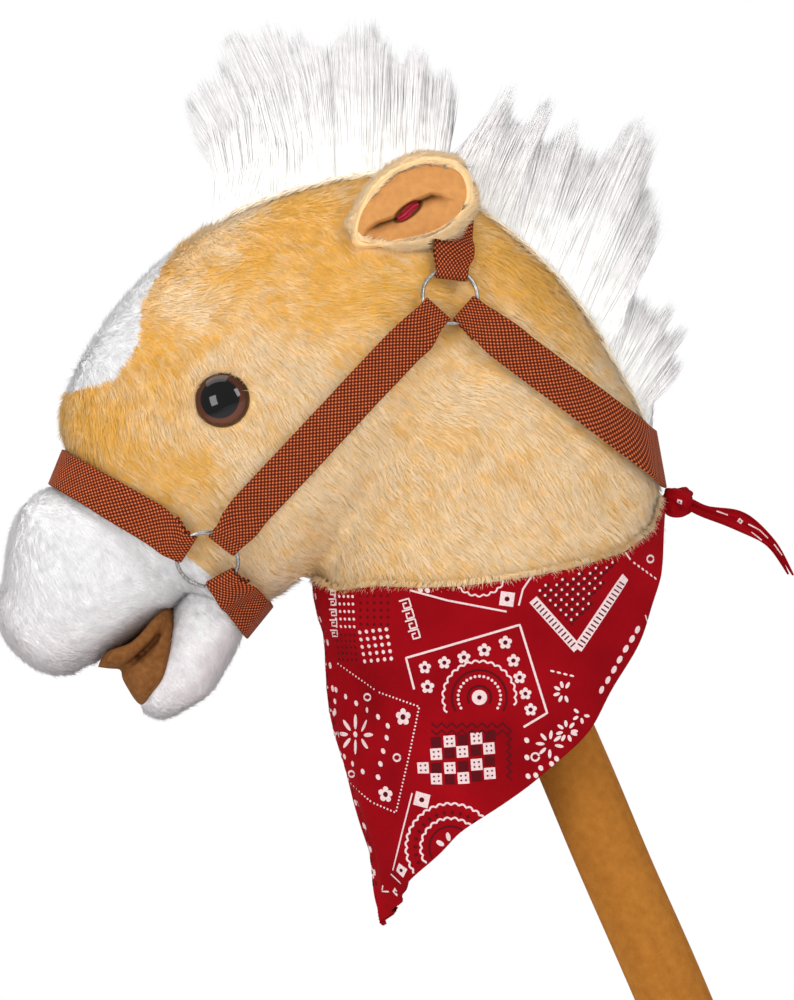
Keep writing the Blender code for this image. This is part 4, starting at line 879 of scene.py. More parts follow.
def is_neck(flat):
    """Which golden places belong to the neck: behind the cheek and below the ear."""
    return flat[:, 0] > -0.045 - 0.55 * (flat[:, 2] - 0.10)


def is_gold(flat):
    return ~inside_blaze(flat) & (muzzle_side(flat) < 0.0)


grow_pile(("head_pile_left", "head_pile_right"), body_cloth, lambda flat: is_gold(flat) & ~is_neck(flat),
          1.12e6, 0.0070, 1.28, 0.00045, golden_colours, "head", 0.0030, 0.42)
grow_pile(("neck_pile_left", "neck_pile_right"), body_cloth, lambda flat: is_gold(flat) & is_neck(flat),
          1.12e6, 0.0074, 1.28, 0.00045, golden_colours, "neck", 0.0030, 0.42)
grow_pile(("blaze_pile",), body_cloth, lambda flat: inside_blaze(flat) & (muzzle_side(flat) < 0.0),
          1.4e6, 0.0060, 1.34, 0.00040, white_colours, "blaze", 0.0025, 0.30)
grow_pile(("muzzle_pile_left", "muzzle_pile_right"), body_cloth, lambda flat: muzzle_side(flat) >= 0.0,
          1.36e6, 0.0052, 1.36, 0.00040, white_colours, "muzzle", 0.0034, 0.36)
grow_pile(("lower_jaw_pile",), jaw_cloth, lambda flat: flat[:, 0] < 1.0,
          1.36e6, 0.0052, 1.34, 0.00040, white_colours, "lower_jaw", 0.0034, 0.38)

pick = rng.uniform(8.0, len(scarf_edge) - 9.0, 3600)
near, mix = pick.astype(int), (pick % 1.0)[:, None]
edge, facing = scarf_edge[near] * (1.0 - mix) + scarf_edge[near + 1] * mix, unit(scarf_facing[near])
upward = np.array((0.0, 0.0, 1.0)) @ head_turn.T
each = (len(pick), 1)
roots = edge + upward * rng.uniform(0.0004, 0.0034, each) - facing * rng.uniform(0.0006, 0.0022, each)
tips = edge - upward * rng.uniform(-0.0010, 0.0022, each) + facing * rng.uniform(0.0003, 0.0010, each)
tips += rng.normal(0.0, 0.0009, tips.shape)
root_colour, tip_colour = golden_colours(roots, near, rng)
fringe = fibres("neck_pile_fringe", roots, facing, tips, rng.uniform(0.0003, 0.00045, len(pick)),
                root_colour, tip_colour, pile)


# Long white pile
# Forelock and mane are strips of very long white pile, sewn into the seam along the poll and
# crest; the fibres stand up, part into broad locks and thin out to soft points. Each lock has its
# start and end along the seam, how far its two edges bow forward in millimetres, and the line of
# its tips, in half millimetres from the drawing's upper left corner.
FORELOCK_SEAM = ((-0.141, 0.300), (-0.027, 0.300), (0.0, -1.0))
FORELOCK_LOCKS = (
    (0.00, 0.20, (-8, -7), ((183, 103), (190, 88), (205, 76), (218, 61), (228, 60), (240, 70), (252, 84),
                            (259, 97))),
    (0.18, 0.38, (-8, -6), ((222, 40), (230, 34), (239, 29), (248, 32), (255, 38))),
    (0.36, 0.56, (-6, 0), ((261, 25), (275, 30), (284, 34), (292, 29), (306, 36), (320, 42), (338, 49))),
    (0.55, 0.76, (0, 0), ((336, 48), (338, 31), (346, 34), (353, 17), (360, 28), (370, 18), (376, 34),
                          (389, 40),
                          (380, 52))),
    (0.75, 0.93, (0, 0), ((376, 60), (392, 49), (397, 58), (405, 58), (415, 44), (419, 53), (425, 50),
                          (427, 73))),
    (0.92, 1.00, (0, -1), ((428, 74), (433, 68), (446, 65), (447, 79), (454, 81), (446, 111))),
)
MANE_SEAM = ((0.040, 0.250), (0.130, 0.112), (-0.79, -0.61))
MANE_LOCKS = (
    (0.00, 0.14, (3, 1), ((468, 150), (480, 129), (493, 112), (506, 94), (517, 79), (512, 98), (510, 108),
                          (517, 123))),
    (0.13, 0.26, (1, 0), ((517, 123), (525, 124), (537, 110), (552, 96), (546, 112), (540, 127), (534, 140))),
    (0.25, 0.42, (0, 0), ((536, 140), (547, 137), (560, 132), (576, 118), (574, 130), (584, 144), (595, 149),
                          (606, 153))),
    (0.41, 0.60, (2, 0), ((606, 153), (619, 142), (630, 127), (641, 111), (644, 124), (656, 133), (650, 150),
                          (646, 172))),
    (0.59, 0.74, (0, -3), ((647, 178), (663, 199), (656, 208), (661, 216), (653, 233), (638, 253), (628, 267),
                           (623, 279))),
    (0.73, 0.90, (0, 0), ((623, 279), (634, 291), (648, 300), (674, 307), (662, 316), (657, 324), (687, 328),
                          (664, 342))),
    (0.89, 1.00, (0, 0), ((664, 344), (684, 363), (663, 372), (650, 382), (647, 402), (646, 418))),
)


def strands(name, paths, widths, outward, colours, finish):
    """Long tapered closed strands, each along its own path of points, three-sided."""
    count, rings = paths.shape[:2]
    way = unit(paths[:, -1] - paths[:, 0])
    above = unit(np.cross(way, np.cross(np.array((0.0, 1.0, 0.0)), way)))
    beside = np.cross(above, way)
    points = np.empty((count, rings * 3 - 2, 3))
    for ring in range(rings - 1):
        for side in range(3):
            turn = math.tau * side / 3.0 + 0.5
            offset = (beside * math.cos(turn) + above * 0.6 * math.sin(turn)) * widths[:, ring, None] / 2.0
            points[:, ring * 3 + side] = paths[:, ring] + offset
    points[:, -1] = paths[:, -1]
    pattern = [(0, 2, 1)]
    for ring in range(rings - 2):
        for side in range(3):
            a, b = ring * 3 + side, ring * 3 + (side + 1) % 3
            pattern += [(a, b, b + 3), (a, b + 3, a + 3)]
    tip, last = rings * 3 - 3, (rings - 2) * 3
    pattern += [(last + side, last + (side + 1) % 3, tip) for side in range(3)]
    faces = (np.arange(count)[:, None, None] * points.shape[1] + np.array(pattern)).reshape(-1, 3)
    piece = piece_of(name, points, faces)
    hearts = np.concatenate((np.repeat(paths[:, :-1], 3, axis=1), paths[:, -1:]), axis=1)
    spread = np.append(np.repeat(np.linspace(1.5, 0.75, rings - 1), 3), 0.6)[None, :, None]
    normals = unit(outward[:, None] * spread + np.array((0.0, 0.0, 0.6)) * (2.0 - spread)
                   + unit(points - hearts))
    piece.data.normals_split_custom_set_from_vertices(normals.reshape(-1, 3).tolist())
    shades = np.repeat(colours[:, :-1], 3, axis=1)
    paint(piece, "pile", np.concatenate((shades, colours[:, -1:]), axis=1).reshape(-1, 3))
    piece.data.materials.append(finish)
    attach(piece, "horse")
    return piece


def grow_locks(name, seam, locks, count, seed):
    """A strip of long pile along a seam: each fibre rises with its lock, in a wisp, to the line of tips."""
    rng = np.random.default_rng(seed)
    (x0, z0), (x1, z1), inward = seam
    ray = (np.array((inward[0], 0.0, inward[1])) @ head_turn.T).tolist()
    spans = np.array([lock[1] - lock[0] for lock in locks])
    counts = np.round(count * spans / spans.sum()).astype(int)
    foot, head = upright(np.array((x0, x1)), 0.0, np.array((z0, z1)))
    along = unit(head - foot)
    roots, tips, bends, wisps, cores, outward = [], [], [], [], [], []

    def on_crest(share, y):
        starts = upright(x0 + (x1 - x0) * share, y, z0 + (z1 - z0) * share)
        return np.array([crest.ray_cast(start, ray)[0] or start for start in starts.tolist()])

    def bent(foot, head, within, bow):
        sway = (bow[0] + (bow[1] - bow[0]) * within) * 0.002
        return (foot + head) / 2.0 + unit(np.cross(head - foot, (0.0, 1.0, 0.0))) * sway[:, None]

    for number, ((first, last, bow, tip_line), amount) in enumerate(zip(locks, counts)):
        knots = np.linspace(0.0, 1.0, len(tip_line))
        tip_x, tip_z = drafted(tip_line).T
        within, end = rng.random(amount), rng.choice((0.0, 1.0), amount)
        closing = rng.random(amount) < 0.20
        within = np.where(closing, np.abs(end - rng.uniform(0.0, 0.05, amount)), within)
        swell = np.sqrt(1.0 - 0.3 * (2.0 * within - 1.0) ** 2)
        layer = rng.choice((-1.0, 1.0), amount) * rng.uniform(0.84, 1.0, amount) * swell
        filling = ~closing & (rng.random(amount) < 0.36)
        layer = np.where(closing | filling, rng.uniform(-0.9, 0.9, amount) * swell, layer)
        share = np.clip(layer / 0.5, -1.0, 1.0)
        facing = np.outer(share, (0.0, 1.0, 0.0)) - np.outer(filling, ray)
        facing = facing + along * (closing * (2.0 * end - 1.0) * np.sqrt(1.0 - share**2))[:, None]
        outward.append(unit(facing))
        root = on_crest(first + (last - first) * within, layer * 0.0135)
        many = max(5, int(round((last - first) * 60)))
        wisp = (within * many).astype(int) + many * (layer > 0.0)
        near = within + ((wisp % many + 0.5) / many - within) * 0.12
        tip = upright(np.interp(near, knots, tip_x), layer * 0.0085, np.interp(near, knots, tip_z))
        tip += rng.normal(0.0, 0.0008, (many * 2, 3))[wisp] + rng.normal(0.0, 0.0014, (amount, 3))
        reach = 1.02 - np.abs(rng.normal(0.0, 0.035, many * 2))[wisp]
        reach = reach * (1.0 - 0.32 * (1.0 - 0.6 * filling) * rng.random(amount) ** 2.2)
        tip = root + (tip - root) * reach[:, None]
        bends.append(bent(root, tip, within, bow) + rng.normal(0.0, 0.0008, (amount, 3)))
        roots.append(root)
        tips.append(tip)
        wisps.append(wisp + 1000 * number)
        inner = np.linspace(0.07, 0.93, 14)
        foot = on_crest(first + (last - first) * inner, 0.0)
        head = upright(np.interp(inner, knots, tip_x), 0.0, np.interp(inner, knots, tip_z))
        bend, swell = bent(foot, head, inner, bow), np.sqrt(1.0 - 0.3 * (2.0 * inner - 1.0) ** 2)
        rings = []
        for t in np.linspace(0.0, 0.68, 9):
            heart = (1.0 - t) ** 2 * foot + 2.0 * t * (1.0 - t) * bend + t**2 * head
            half = np.outer(swell * 0.0108 * (1.0 - 0.42 * t), (0.0, 1.0, 0.0))
            rings.append(np.vstack((heart + half, (heart - half)[::-1])))
        cores.append(lofted("core", rings))
    roots, tips, bends, outward = (np.vstack(block) for block in (roots, tips, bends, outward))
    wisp = np.unique(np.concatenate(wisps), return_inverse=True)[1]
    t = np.array((0.0, 0.36, 0.70, 1.0))[None, :, None]
    path = (1.0 - t) ** 2 * roots[:, None] + 2.0 * t * (1.0 - t) * bends[:, None] + t**2 * tips[:, None]
    widths = rng.uniform(0.00050, 0.00070, len(roots))[:, None] * np.array((1.0, 0.93, 0.66, 0.0))
    tone = 1.0 + rng.normal(0.0, 0.010, wisp.max() + 1)[wisp] + rng.normal(0.0, 0.010, len(roots))
    root_tone, tip_tone = np.array((0.98, 0.972, 0.952)), np.array((0.955, 0.922, 0.925))
    colours = (root_tone + (tip_tone - root_tone) * soft_step(t, 0.2, 0.9)) * tone[:, None, None]
    lying = 1100
    share, side = rng.uniform(0.04, 0.90, lying), rng.choice((-1.0, 1.0), lying)
    level_y, run = side * rng.uniform(0.0130, 0.0165, lying), rng.uniform(0.06, 0.13, lying)
    a, b, c = (on_crest(np.minimum(share + run * step, 1.0), level_y) - np.array(ray) * lift
               for step, lift in ((0.0, 0.0018), (0.5, 0.0050), (1.0, 0.0028)))
    lain = (1.0 - t) ** 2 * a[:, None] + 2.0 * t * (1.0 - t) * b[:, None] + t**2 * c[:, None]
    dyed = np.where(rng.random(lying)[:, None] < 0.16, (0.60, 0.36, 0.19), (0.98, 0.87, 0.68))
    path, roots = np.concatenate((path, lain)), np.vstack((roots, a))
    outward = np.vstack((outward, np.outer(side, (0.0, 1.0, 0.0))))
    widths = np.vstack((widths, rng.uniform(0.0003, 0.00045, lying)[:, None] * np.array((0.7, 1.0, 0.8, 0.0))))
    colours = np.concatenate((colours, np.repeat(dyed[:, None], 4, axis=1)))
    under = sewn_together(name + "_underpile", cores, 0.0016, 5)
    paint(under, "pile", np.tile((0.98, 0.972, 0.958), (len(under.data.vertices), 1)))
    under.data.materials.append(pile)
    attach(under, "horse")
    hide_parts(name)
    for half, label in ((roots[:, 1] < 0.0, "left"), (roots[:, 1] >= 0.0, "right")):
        piece = strands(f"{name}_locks_{label}", path[half], widths[half], outward[half],
                        np.clip(colours[half], 0.0, 0.985), pile)
        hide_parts(name)


crest = search_tree(body_cloth)
grow_locks("forelock", FORELOCK_SEAM, FORELOCK_LOCKS, 15000, 31)
grow_locks("mane", MANE_SEAM, MANE_LOCKS, 15000, 32)


# Ears
# Two cups of cream pile cloth sewn to the sides of the poll, filled by a fold of peach suede cloth
# whose upper half laps over the lower one; a pale bound edge runs round the opening.
EAR_OPENING = (
    (-0.0700, 0.1735), (-0.0690, 0.1800), (-0.0645, 0.1910), (-0.0585, 0.1990), (-0.0485, 0.2062),
    (-0.0360, 0.2105), (-0.0245, 0.2098), (-0.0165, 0.2050), (-0.0130, 0.1965), (-0.0140, 0.1885),
    (-0.0195, 0.1812), (-0.0310, 0.1743), (-0.0440, 0.1710), (-0.0560, 0.1690), (-0.0640, 0.1680),
    (-0.0685, 0.1695),
)
TAB_PLACE = (-0.0435, -0.0475, 0.1852)
TAB_SLOPE = math.radians(36.0)
EAR_CREASE = (
    (-0.0663, 0.1722), (-0.0625, 0.1760), (-0.0575, 0.1790), (-0.0505, 0.1812), (-0.0450, 0.1850),
    (-0.0390, 0.1896), (-0.0320, 0.1928), (-0.0285, 0.1924), (-0.0225, 0.1908),
)


def softened_copy(node_name, name, voxel, rounds, inset):
    """A copy of a CAD form as one soft skin, drawn in by the depth of its pile."""
    mesh = frame["nodes"][node_name].data.copy()
    piece = laid_out(name, mesh)
    form = bmesh.new()
    form.from_mesh(mesh)
    bmesh.ops.remove_doubles(form, verts=form.verts, dist=0.00001)
    form.to_mesh(mesh)
    mesh.materials.clear()
    sewn_together(name, [piece], voxel, rounds)
    places = vertex_array(piece.data, "co") - vertex_array(piece.data, "normal") * inset
    moved(piece, places)
    return piece


def crease_distance(x, z, line):
    """How far points lie above a line of points, and how far along it their nearest place is."""
    line = np.array(line)
    best, above, along = np.full(x.shape, 9.0), np.zeros(x.shape), np.zeros(x.shape)
    lengths = np.linalg.norm(np.diff(line, axis=0), axis=1)
    for index, ((x0, z0), (x1, z1)) in enumerate(zip(line, line[1:])):
        run = np.array((x1 - x0, z1 - z0)) / lengths[index]
        step = np.clip((x - x0) * run[0] + (z - z0) * run[1], 0.0, lengths[index])
        away = np.hypot(x - x0 - run[0] * step, z - z0 - run[1] * step)
        nearer = away < best
        side = np.sign(run[0] * (z - z0) - run[1] * (x - x0))
        best, above = np.where(nearer, away, best), np.where(nearer, side, above)
        along = np.where(nearer, (lengths[:index].sum() + step) / lengths.sum(), along)
    return best * above, along


def suede_fold(name, sign, cup):
    """The folded suede in an ear: a closed sheet over the opening, deep in its crease."""
    spokes, rings = 150, 52
    outline = curve_through(EAR_OPENING + EAR_OPENING[:1], 12)[:-1]
    outline = outline[np.linspace(0, len(outline), spokes, endpoint=False).astype(int)]
    share = 1.07 * (1.0 - (1.0 - np.linspace(0.02, 1.0, rings)) ** 1.25)
    middle = np.array((-0.0425, 0.1885))
    flat = middle + (outline - middle)[None] * share[:, None, None]
    edge = placed(np.stack((outline[:, 0], np.full(spokes, sign * 0.2), outline[:, 1]), axis=1))
    reach = np.array([cup.ray_cast(start, (0.0, -sign, 0.0))[3] for start in edge.tolist()], float)
    rim = 0.2 - np.nan_to_num(reach, nan=0.150)
    for _ in range(12):
        rim = (np.roll(rim, 1) + rim * 2.0 + np.roll(rim, -1)) / 4.0
    weight = 1.0 / (np.linalg.norm(flat[:, :, None] - outline[None, None, ::3], axis=-1) ** 2 + 1e-6)
    proud = (weight * rim[::3]).sum(axis=-1) / weight.sum(axis=-1)
    above, along = crease_distance(flat[..., 0], flat[..., 1], EAR_CREASE)
    fade = soft_step(along, 0.0, 0.22) * (1.0 - soft_step(along, 0.80, 1.0))
    dip = np.where(above > 0.0, np.exp(-((above / 0.0011) ** 2)), np.exp(-((above / 0.0030) ** 2)))
    from_tab = flat - np.array(TAB_PLACE[::2])
    length = from_tab @ np.array((math.cos(TAB_SLOPE), math.sin(TAB_SLOPE)))
    breadth = from_tab @ np.array((-math.sin(TAB_SLOPE), math.cos(TAB_SLOPE)))
    almond = (np.abs(length / 0.0073) ** 2.2 + np.abs(breadth / 0.0030) ** 2.2) ** (1.0 / 2.2)
    pocket = (1.0 - soft_step(almond, 0.96, 1.22)) * (sign < 0.0)
    puff = (1.0 - np.minimum(share, 1.0)[:, None] ** 2) * np.where(above > 0.0, 0.0016, -0.0010)
    bead = 0.0008 * np.exp(-(((share - 0.975) / 0.025) ** 2)) - 0.0050 * soft_step(share, 1.005, 1.07)
    proud = proud + 0.0004 + puff + bead[:, None] - 0.0048 * dip * fade
    proud = np.minimum(proud, proud * (1.0 - pocket) + 0.0425 * pocket)
    points = placed(np.stack((flat[..., 0], sign * proud, flat[..., 1]), axis=-1)).reshape(-1, 3)
    piece = piece_of(name, points, woven_quads(rings, spokes, True))
    picked([piece])
    bpy.ops.object.mode_set(mode="EDIT")
    bpy.ops.mesh.select_all(action="DESELECT")
    bpy.ops.object.mode_set(mode="OBJECT")
    for index in range(spokes):
        piece.data.vertices[index].select = True
    bpy.ops.object.mode_set(mode="EDIT")
    bpy.ops.mesh.edge_face_add()
    bpy.ops.mesh.select_all(action="SELECT")
    bpy.ops.mesh.normals_make_consistent(inside=False)
    bpy.ops.object.mode_set(mode="OBJECT")
    if sum(face.normal.y * face.area for face in piece.data.polygons) * sign < 0.0:
        piece.data.flip_normals()
    bound = np.repeat(soft_step(share, 0.935, 0.955), spokes)[:, None]
    # Painted shade: the suede is darkened along the deep crease, where the upper half laps over the lower one.
    shade = np.repeat(1.0 - 0.75 * (dip**5 * fade).reshape(-1)[:, None], 3, axis=1)
    colours = np.array((0.60, 0.275, 0.088)) * shade * (1.0 - bound) + np.array((0.93, 0.62, 0.30)) * bound
    paint(piece, "suede_colour_and_crease_shade", colours)
    walled(piece, 0.0008)
    return piece


suede, tree, shader = new_finish("peach_suede", 0.92)
# The suede shows its painted colours, the painted crease shade included, mottled a little.
painted_over(tree, shader, "suede_colour_and_crease_shade", between(tree, mottle(tree, 260.0, 6.0), 0.88, 1.08, 0.3, 0.7))
bumped(tree, shader, mottle(tree, 1500.0, 2.0), 0.0003, 0.6)

for side, sign in (("left", -1.0), ("right", 1.0)):
    ear = softened_copy(side + "_ear", side + "_ear_cup", 0.0014, 4, 0.0012)
    paint(ear, "cloth", np.tile((0.95, 0.70, 0.40), (len(ear.data.vertices), 1)))
    ear.data.materials.append(backing)
    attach(ear, "horse")
    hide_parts(side + "_ear")
    lining = suede_fold(side + "_ear_suede", sign, search_tree(ear))
    lining.data.materials.append(suede)
    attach(lining, "horse")
    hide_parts(side + "_ear_lining")
    roots, outward = scatter(ear.data, 2.2e6, rng)
    linings = search_tree(lining)
    keep = np.array([linings.find_nearest(root)[3] > 0.0004 for root in roots.tolist()])
    keep &= uncovered(roots, np.tile((0.0, sign, 0.0), (len(roots), 1)), linings, 0.02)
    keep &= uncovered(roots + outward * 0.0003, outward, crest, 0.012)
    roots, outward = roots[keep], outward[keep]
    sweep = np.array((0.85, 0.0, 0.35)) @ head_turn.T
    along = unit(sweep - outward * np.sum(sweep * outward, axis=1, keepdims=True))
    leaned = 1.16 + rng.normal(0.0, 0.18, len(roots))
    way = (outward * np.cos(leaned)[:, None] + along * np.sin(leaned)[:, None]
           + rng.normal(0.0, 0.14, roots.shape))
    tips = roots + unit(way) * rng.uniform(0.0030, 0.0050, len(roots))[:, None]
    tips, tuft = gathered(roots, tips, 0.002, 0.4, rng)
    kept, tips = pressed(roots, tips, linings, 0.0006)
    tone = rng.normal(1.0, 0.035, len(roots))[:, None]
    low, high = np.array((0.93, 0.60, 0.29)) * tone, np.array((0.98, 0.75, 0.47)) * tone
    fur = fibres(side + "_ear_pile", roots[kept], outward[kept], tips[kept],
                 rng.uniform(0.00028, 0.0004, kept.sum()), np.minimum(low, 0.99)[kept],
                 np.minimum(high, 0.99)[kept], pile)


# Sound button
# A sprung plastic button under a folded tab of red satin, which shows in the left ear's crease;
# pressed, it goes into the ear and works the sound unit.
TAB_SIZE = (0.0125, 0.0030, 0.0046)

bpy.ops.object.select_all(action="DESELECT")
bpy.ops.mesh.primitive_cube_add(size=1.0, location=(0.0, 0.0, 0.0))
tab = bpy.context.object
tab.name = "satin_tab"
bpy.ops.object.mode_set(mode="EDIT")
bpy.ops.transform.resize(value=TAB_SIZE)
bpy.ops.mesh.subdivide(number_cuts=11)
bpy.ops.object.mode_set(mode="OBJECT")
places = vertex_array(tab.data, "co")
share = places / (np.array(TAB_SIZE) / 2.0)
places[:, 1:] *= (1.0 - 0.42 * np.abs(share[:, :1]) ** 3.0) / np.maximum(
    (np.abs(share[:, 1:2]) ** 3.0 + np.abs(share[:, 2:]) ** 3.0) ** (1.0 / 3.0), 0.6)
places[:, 1] -= 0.0009 * np.where(share[:, 1] < 0.0, np.cos(share[:, 2] * 4.2 + share[:, 0]), 0.0)
places[:, 2] += 0.0006 * np.sin(share[:, 0] * 2.6)
moved(tab, places)
tab.data.transform(Matrix.Translation(placed([TAB_PLACE])[0].tolist()) @ head_place.to_3x3().to_4x4()
                   @ Matrix.Rotation(-TAB_SLOPE, 4, "Y"))
rounding = tab.modifiers.new("rounding", "SUBSURF")
rounding.levels = rounding.render_levels = 1
apply_modifiers(tab)
bpy.ops.object.shade_smooth()
satin, tree, shader = new_finish("red_satin", 0.30, 0.6)
place = node(tree, "TexCoord").outputs["Object"]
stretch = node(tree, "Mapping", {"Vector": place, "Rotation": (0.0, TAB_SLOPE - HEAD_SLANT, 0.0),
                                 "Scale": (160.0, 900.0, 1600.0)}).outputs["Vector"]
# Painted sheen: long streaks of lighter and darker red along the satin stand for its sheen, and the same
# streaks make a faint bump.
satin_sheen_streaks = mottle(tree, 1.0, 3.0, stretch)
dye_with(tree, shader, satin_sheen_streaks, (0.30, (0.24, 0.004, 0.018)), (0.70, (0.55, 0.018, 0.055)))
bumped(tree, shader, satin_sheen_streaks, 0.0003, 0.5)
tab.data.materials.append(satin)
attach(tab, "sound_button_body")
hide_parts("sound_button")


# Eyes
# Two moulded plastic eyes: a brown dome over a black pupil, on a shank that goes through the
# cloth; a washer locks each one inside the head.
EYE_SEAT = (-0.08775, -0.05573, 0.77769)
EYE_OUTWARD = (-0.1275, -0.9777, 0.1670)
EYE_RADIUS, EYE_RISE, PUPIL_RADIUS = 0.01375, 0.0085, 0.0099
EYE_TUFTS = 520


def turned(name, profile, sides=72):
    """A round piece on the Z axis, spun from its profile of radius and height."""
    mesh = bpy.data.meshes.new(name)
    edges = [(index, index + 1) for index in range(len(profile) - 1)]
    mesh.from_pydata([(radius, 0.0, height) for radius, height in profile], edges, [])
    piece = laid_out(name, mesh)
    picked([piece])
    bpy.ops.object.mode_set(mode="EDIT")
    bpy.ops.mesh.select_all(action="SELECT")
    bpy.ops.mesh.spin(steps=sides, angle=math.tau, center=(0.0, 0.0, 0.0), axis=(0.0, 0.0, 1.0))
    bpy.ops.mesh.select_all(action="SELECT")
    bpy.ops.mesh.remove_doubles(threshold=0.00001)
    bpy.ops.mesh.normals_make_consistent(inside=False)
    bpy.ops.object.mode_set(mode="OBJECT")
    bpy.ops.object.shade_smooth_by_angle(angle=math.radians(40.0))
    return piece


glossy, tree, shader = new_finish("eye_plastic", 0.04, 0.4)
iris = node(tree, "Attribute", attribute_name="iris").outputs["Color"]
tree.links.new(iris, shader.inputs["Base Color"])
tree.links.new(between(tree, mottle(tree, 500.0, 4.0), 0.02, 0.07), shader.inputs["Roughness"])
dome = [0.0] + list(np.linspace(0.0016, PUPIL_RADIUS - 0.0003, 9)) + [PUPIL_RADIUS + 0.0001]
start = math.asin((PUPIL_RADIUS + 0.0008) / EYE_RADIUS)
dome += list(EYE_RADIUS * np.sin(np.linspace(start, math.pi / 2.0, 10)))
dome = [(radius, EYE_RISE * math.sqrt(max(0.0, 1.0 - (radius / EYE_RADIUS) ** 2))) for radius in dome]
for side, sign in (("left", 1.0), ("right", -1.0)):
    eye = turned(side + "_eye_dome", dome + [
        (EYE_RADIUS, -0.0016), (EYE_RADIUS - 0.0004, -0.0020), (0.0030, -0.0020), (0.0030, -0.0165),
        (0.0025, -0.0170), (0.0, -0.0170)], 96)
    places = vertex_array(eye.data, "co")
    away = np.hypot(places[:, 0], places[:, 1])
    # Painted light in the brown rim: it is lighter along its lower edge, where light that passes through the
    # dome gathers, and lighter next to the pupil as a painted inner reflection, growing darker towards the
    # dome's edge.
    lit_low_edge = soft_step(-places[:, 1] / EYE_RADIUS, -0.3, 1.0)[:, None]
    brown = np.array((0.046, 0.012, 0.0045)) * (1.0 - lit_low_edge) + np.array((0.100, 0.025, 0.008)) * lit_low_edge
    brown = brown * (1.25 - 0.75 * soft_step(away, 0.0112, EYE_RADIUS))[:, None]
    paint(eye, "iris", np.where((away < PUPIL_RADIUS)[:, None], np.array((0.002, 0.0015, 0.002)), brown))
    outward_ = Vector((EYE_OUTWARD[0], EYE_OUTWARD[1] * sign, EYE_OUTWARD[2]))
    seat = Vector((EYE_SEAT[0], EYE_SEAT[1] * sign, EYE_SEAT[2]))
    eye.data.transform(Matrix.Translation(seat) @ outward_.to_track_quat("Z", "Y").to_matrix().to_4x4())
    eye.data.materials.append(glossy)
    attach(eye, "horse")
    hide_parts(side + "_eye")
    axis = np.array(outward_.normalized())
    above = unit(np.array((0.0, 0.0, 1.0)) - axis * axis[2])
    beside = np.cross(axis, above)
    turn = rng.normal(0.0, 0.62, (EYE_TUFTS, 1)) + 0.1 * sign
    ring = above * np.cos(turn) + beside * np.sin(turn)
    roots = (np.array(seat) + ring * rng.uniform(0.0146, 0.0160, (EYE_TUFTS, 1))
             + axis * rng.uniform(-0.0004, 0.0008, (EYE_TUFTS, 1)))
    tips = (np.array(seat) + ring * rng.uniform(0.0122, 0.0138, (EYE_TUFTS, 1))
            + axis * rng.uniform(0.0030, 0.0044, (EYE_TUFTS, 1)))
    tips += rng.normal(0.0, 0.0008, tips.shape)
    root_colour, tip_colour = golden_colours(roots, np.arange(EYE_TUFTS) // 8, rng)
    tufts = fibres(side + "_eye_tufts", roots, np.tile(axis, (EYE_TUFTS, 1)), tips,
                   rng.uniform(0.0003, 0.00042, EYE_TUFTS), root_colour, tip_colour, pile)


# Halter rings
# Four rings of bright steel wire, butt-welded; each turns freely in the webbing's folds.
steel, tree, shader = new_finish("steel_wire", 0.25, 0.5)
shader.inputs["Metallic"].default_value = 1.0
scratches = mottle(tree, 700.0, 5.0)
dye_with(tree, shader, scratches, (0.3, (0.22, 0.21, 0.20)), (0.7, (0.50, 0.49, 0.48)))
tree.links.new(between(tree, scratches, 0.16, 0.42), shader.inputs["Roughness"])
bumped(tree, shader, scratches, 0.0001, 0.4)
for name, ring in (
    ("left_cheek_ring", CHEEK_RING), ("right_cheek_ring", other_side(CHEEK_RING)),
    ("left_jaw_ring", JAW_RING), ("right_jaw_ring", other_side(JAW_RING)),
):
    centre, axis, radius = ring
    bpy.ops.object.select_all(action="DESELECT")
    bpy.ops.mesh.primitive_torus_add(
        major_segments=96, minor_segments=16, major_radius=radius, minor_radius=WIRE_DIAMETER / 2.0,
        location=centre, rotation=Vector(axis).to_track_quat("Z", "Y").to_euler())
    wire = bpy.context.object
    wire.name = name + "_wire"
    bpy.ops.object.transform_apply(location=True, rotation=True, scale=True)
    bpy.ops.object.shade_smooth()
    wire.data.materials.append(steel)
    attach(wire, name + "_body")
    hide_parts(name)


# Neckerchief knot
# The scarf's two long ends, tied once behind the neck; the knot is pulled tight, and the tails
# are folded on themselves and droop.
KNOT_PLACE = (0.0915, 0.0, 0.0420)
TAIL_LINE = (
    (0.0000, 0.0000, 0.0026), (0.0060, -0.0016, 0.0030), (0.0140, -0.0052, 0.0031), (0.0275, -0.0088, 0.0047),
    (0.0360, -0.0130, 0.0042), (0.0445, -0.0190, 0.0024), (0.0500, -0.0255, 0.0014), (0.0565, -0.0370, 0.0004),
)


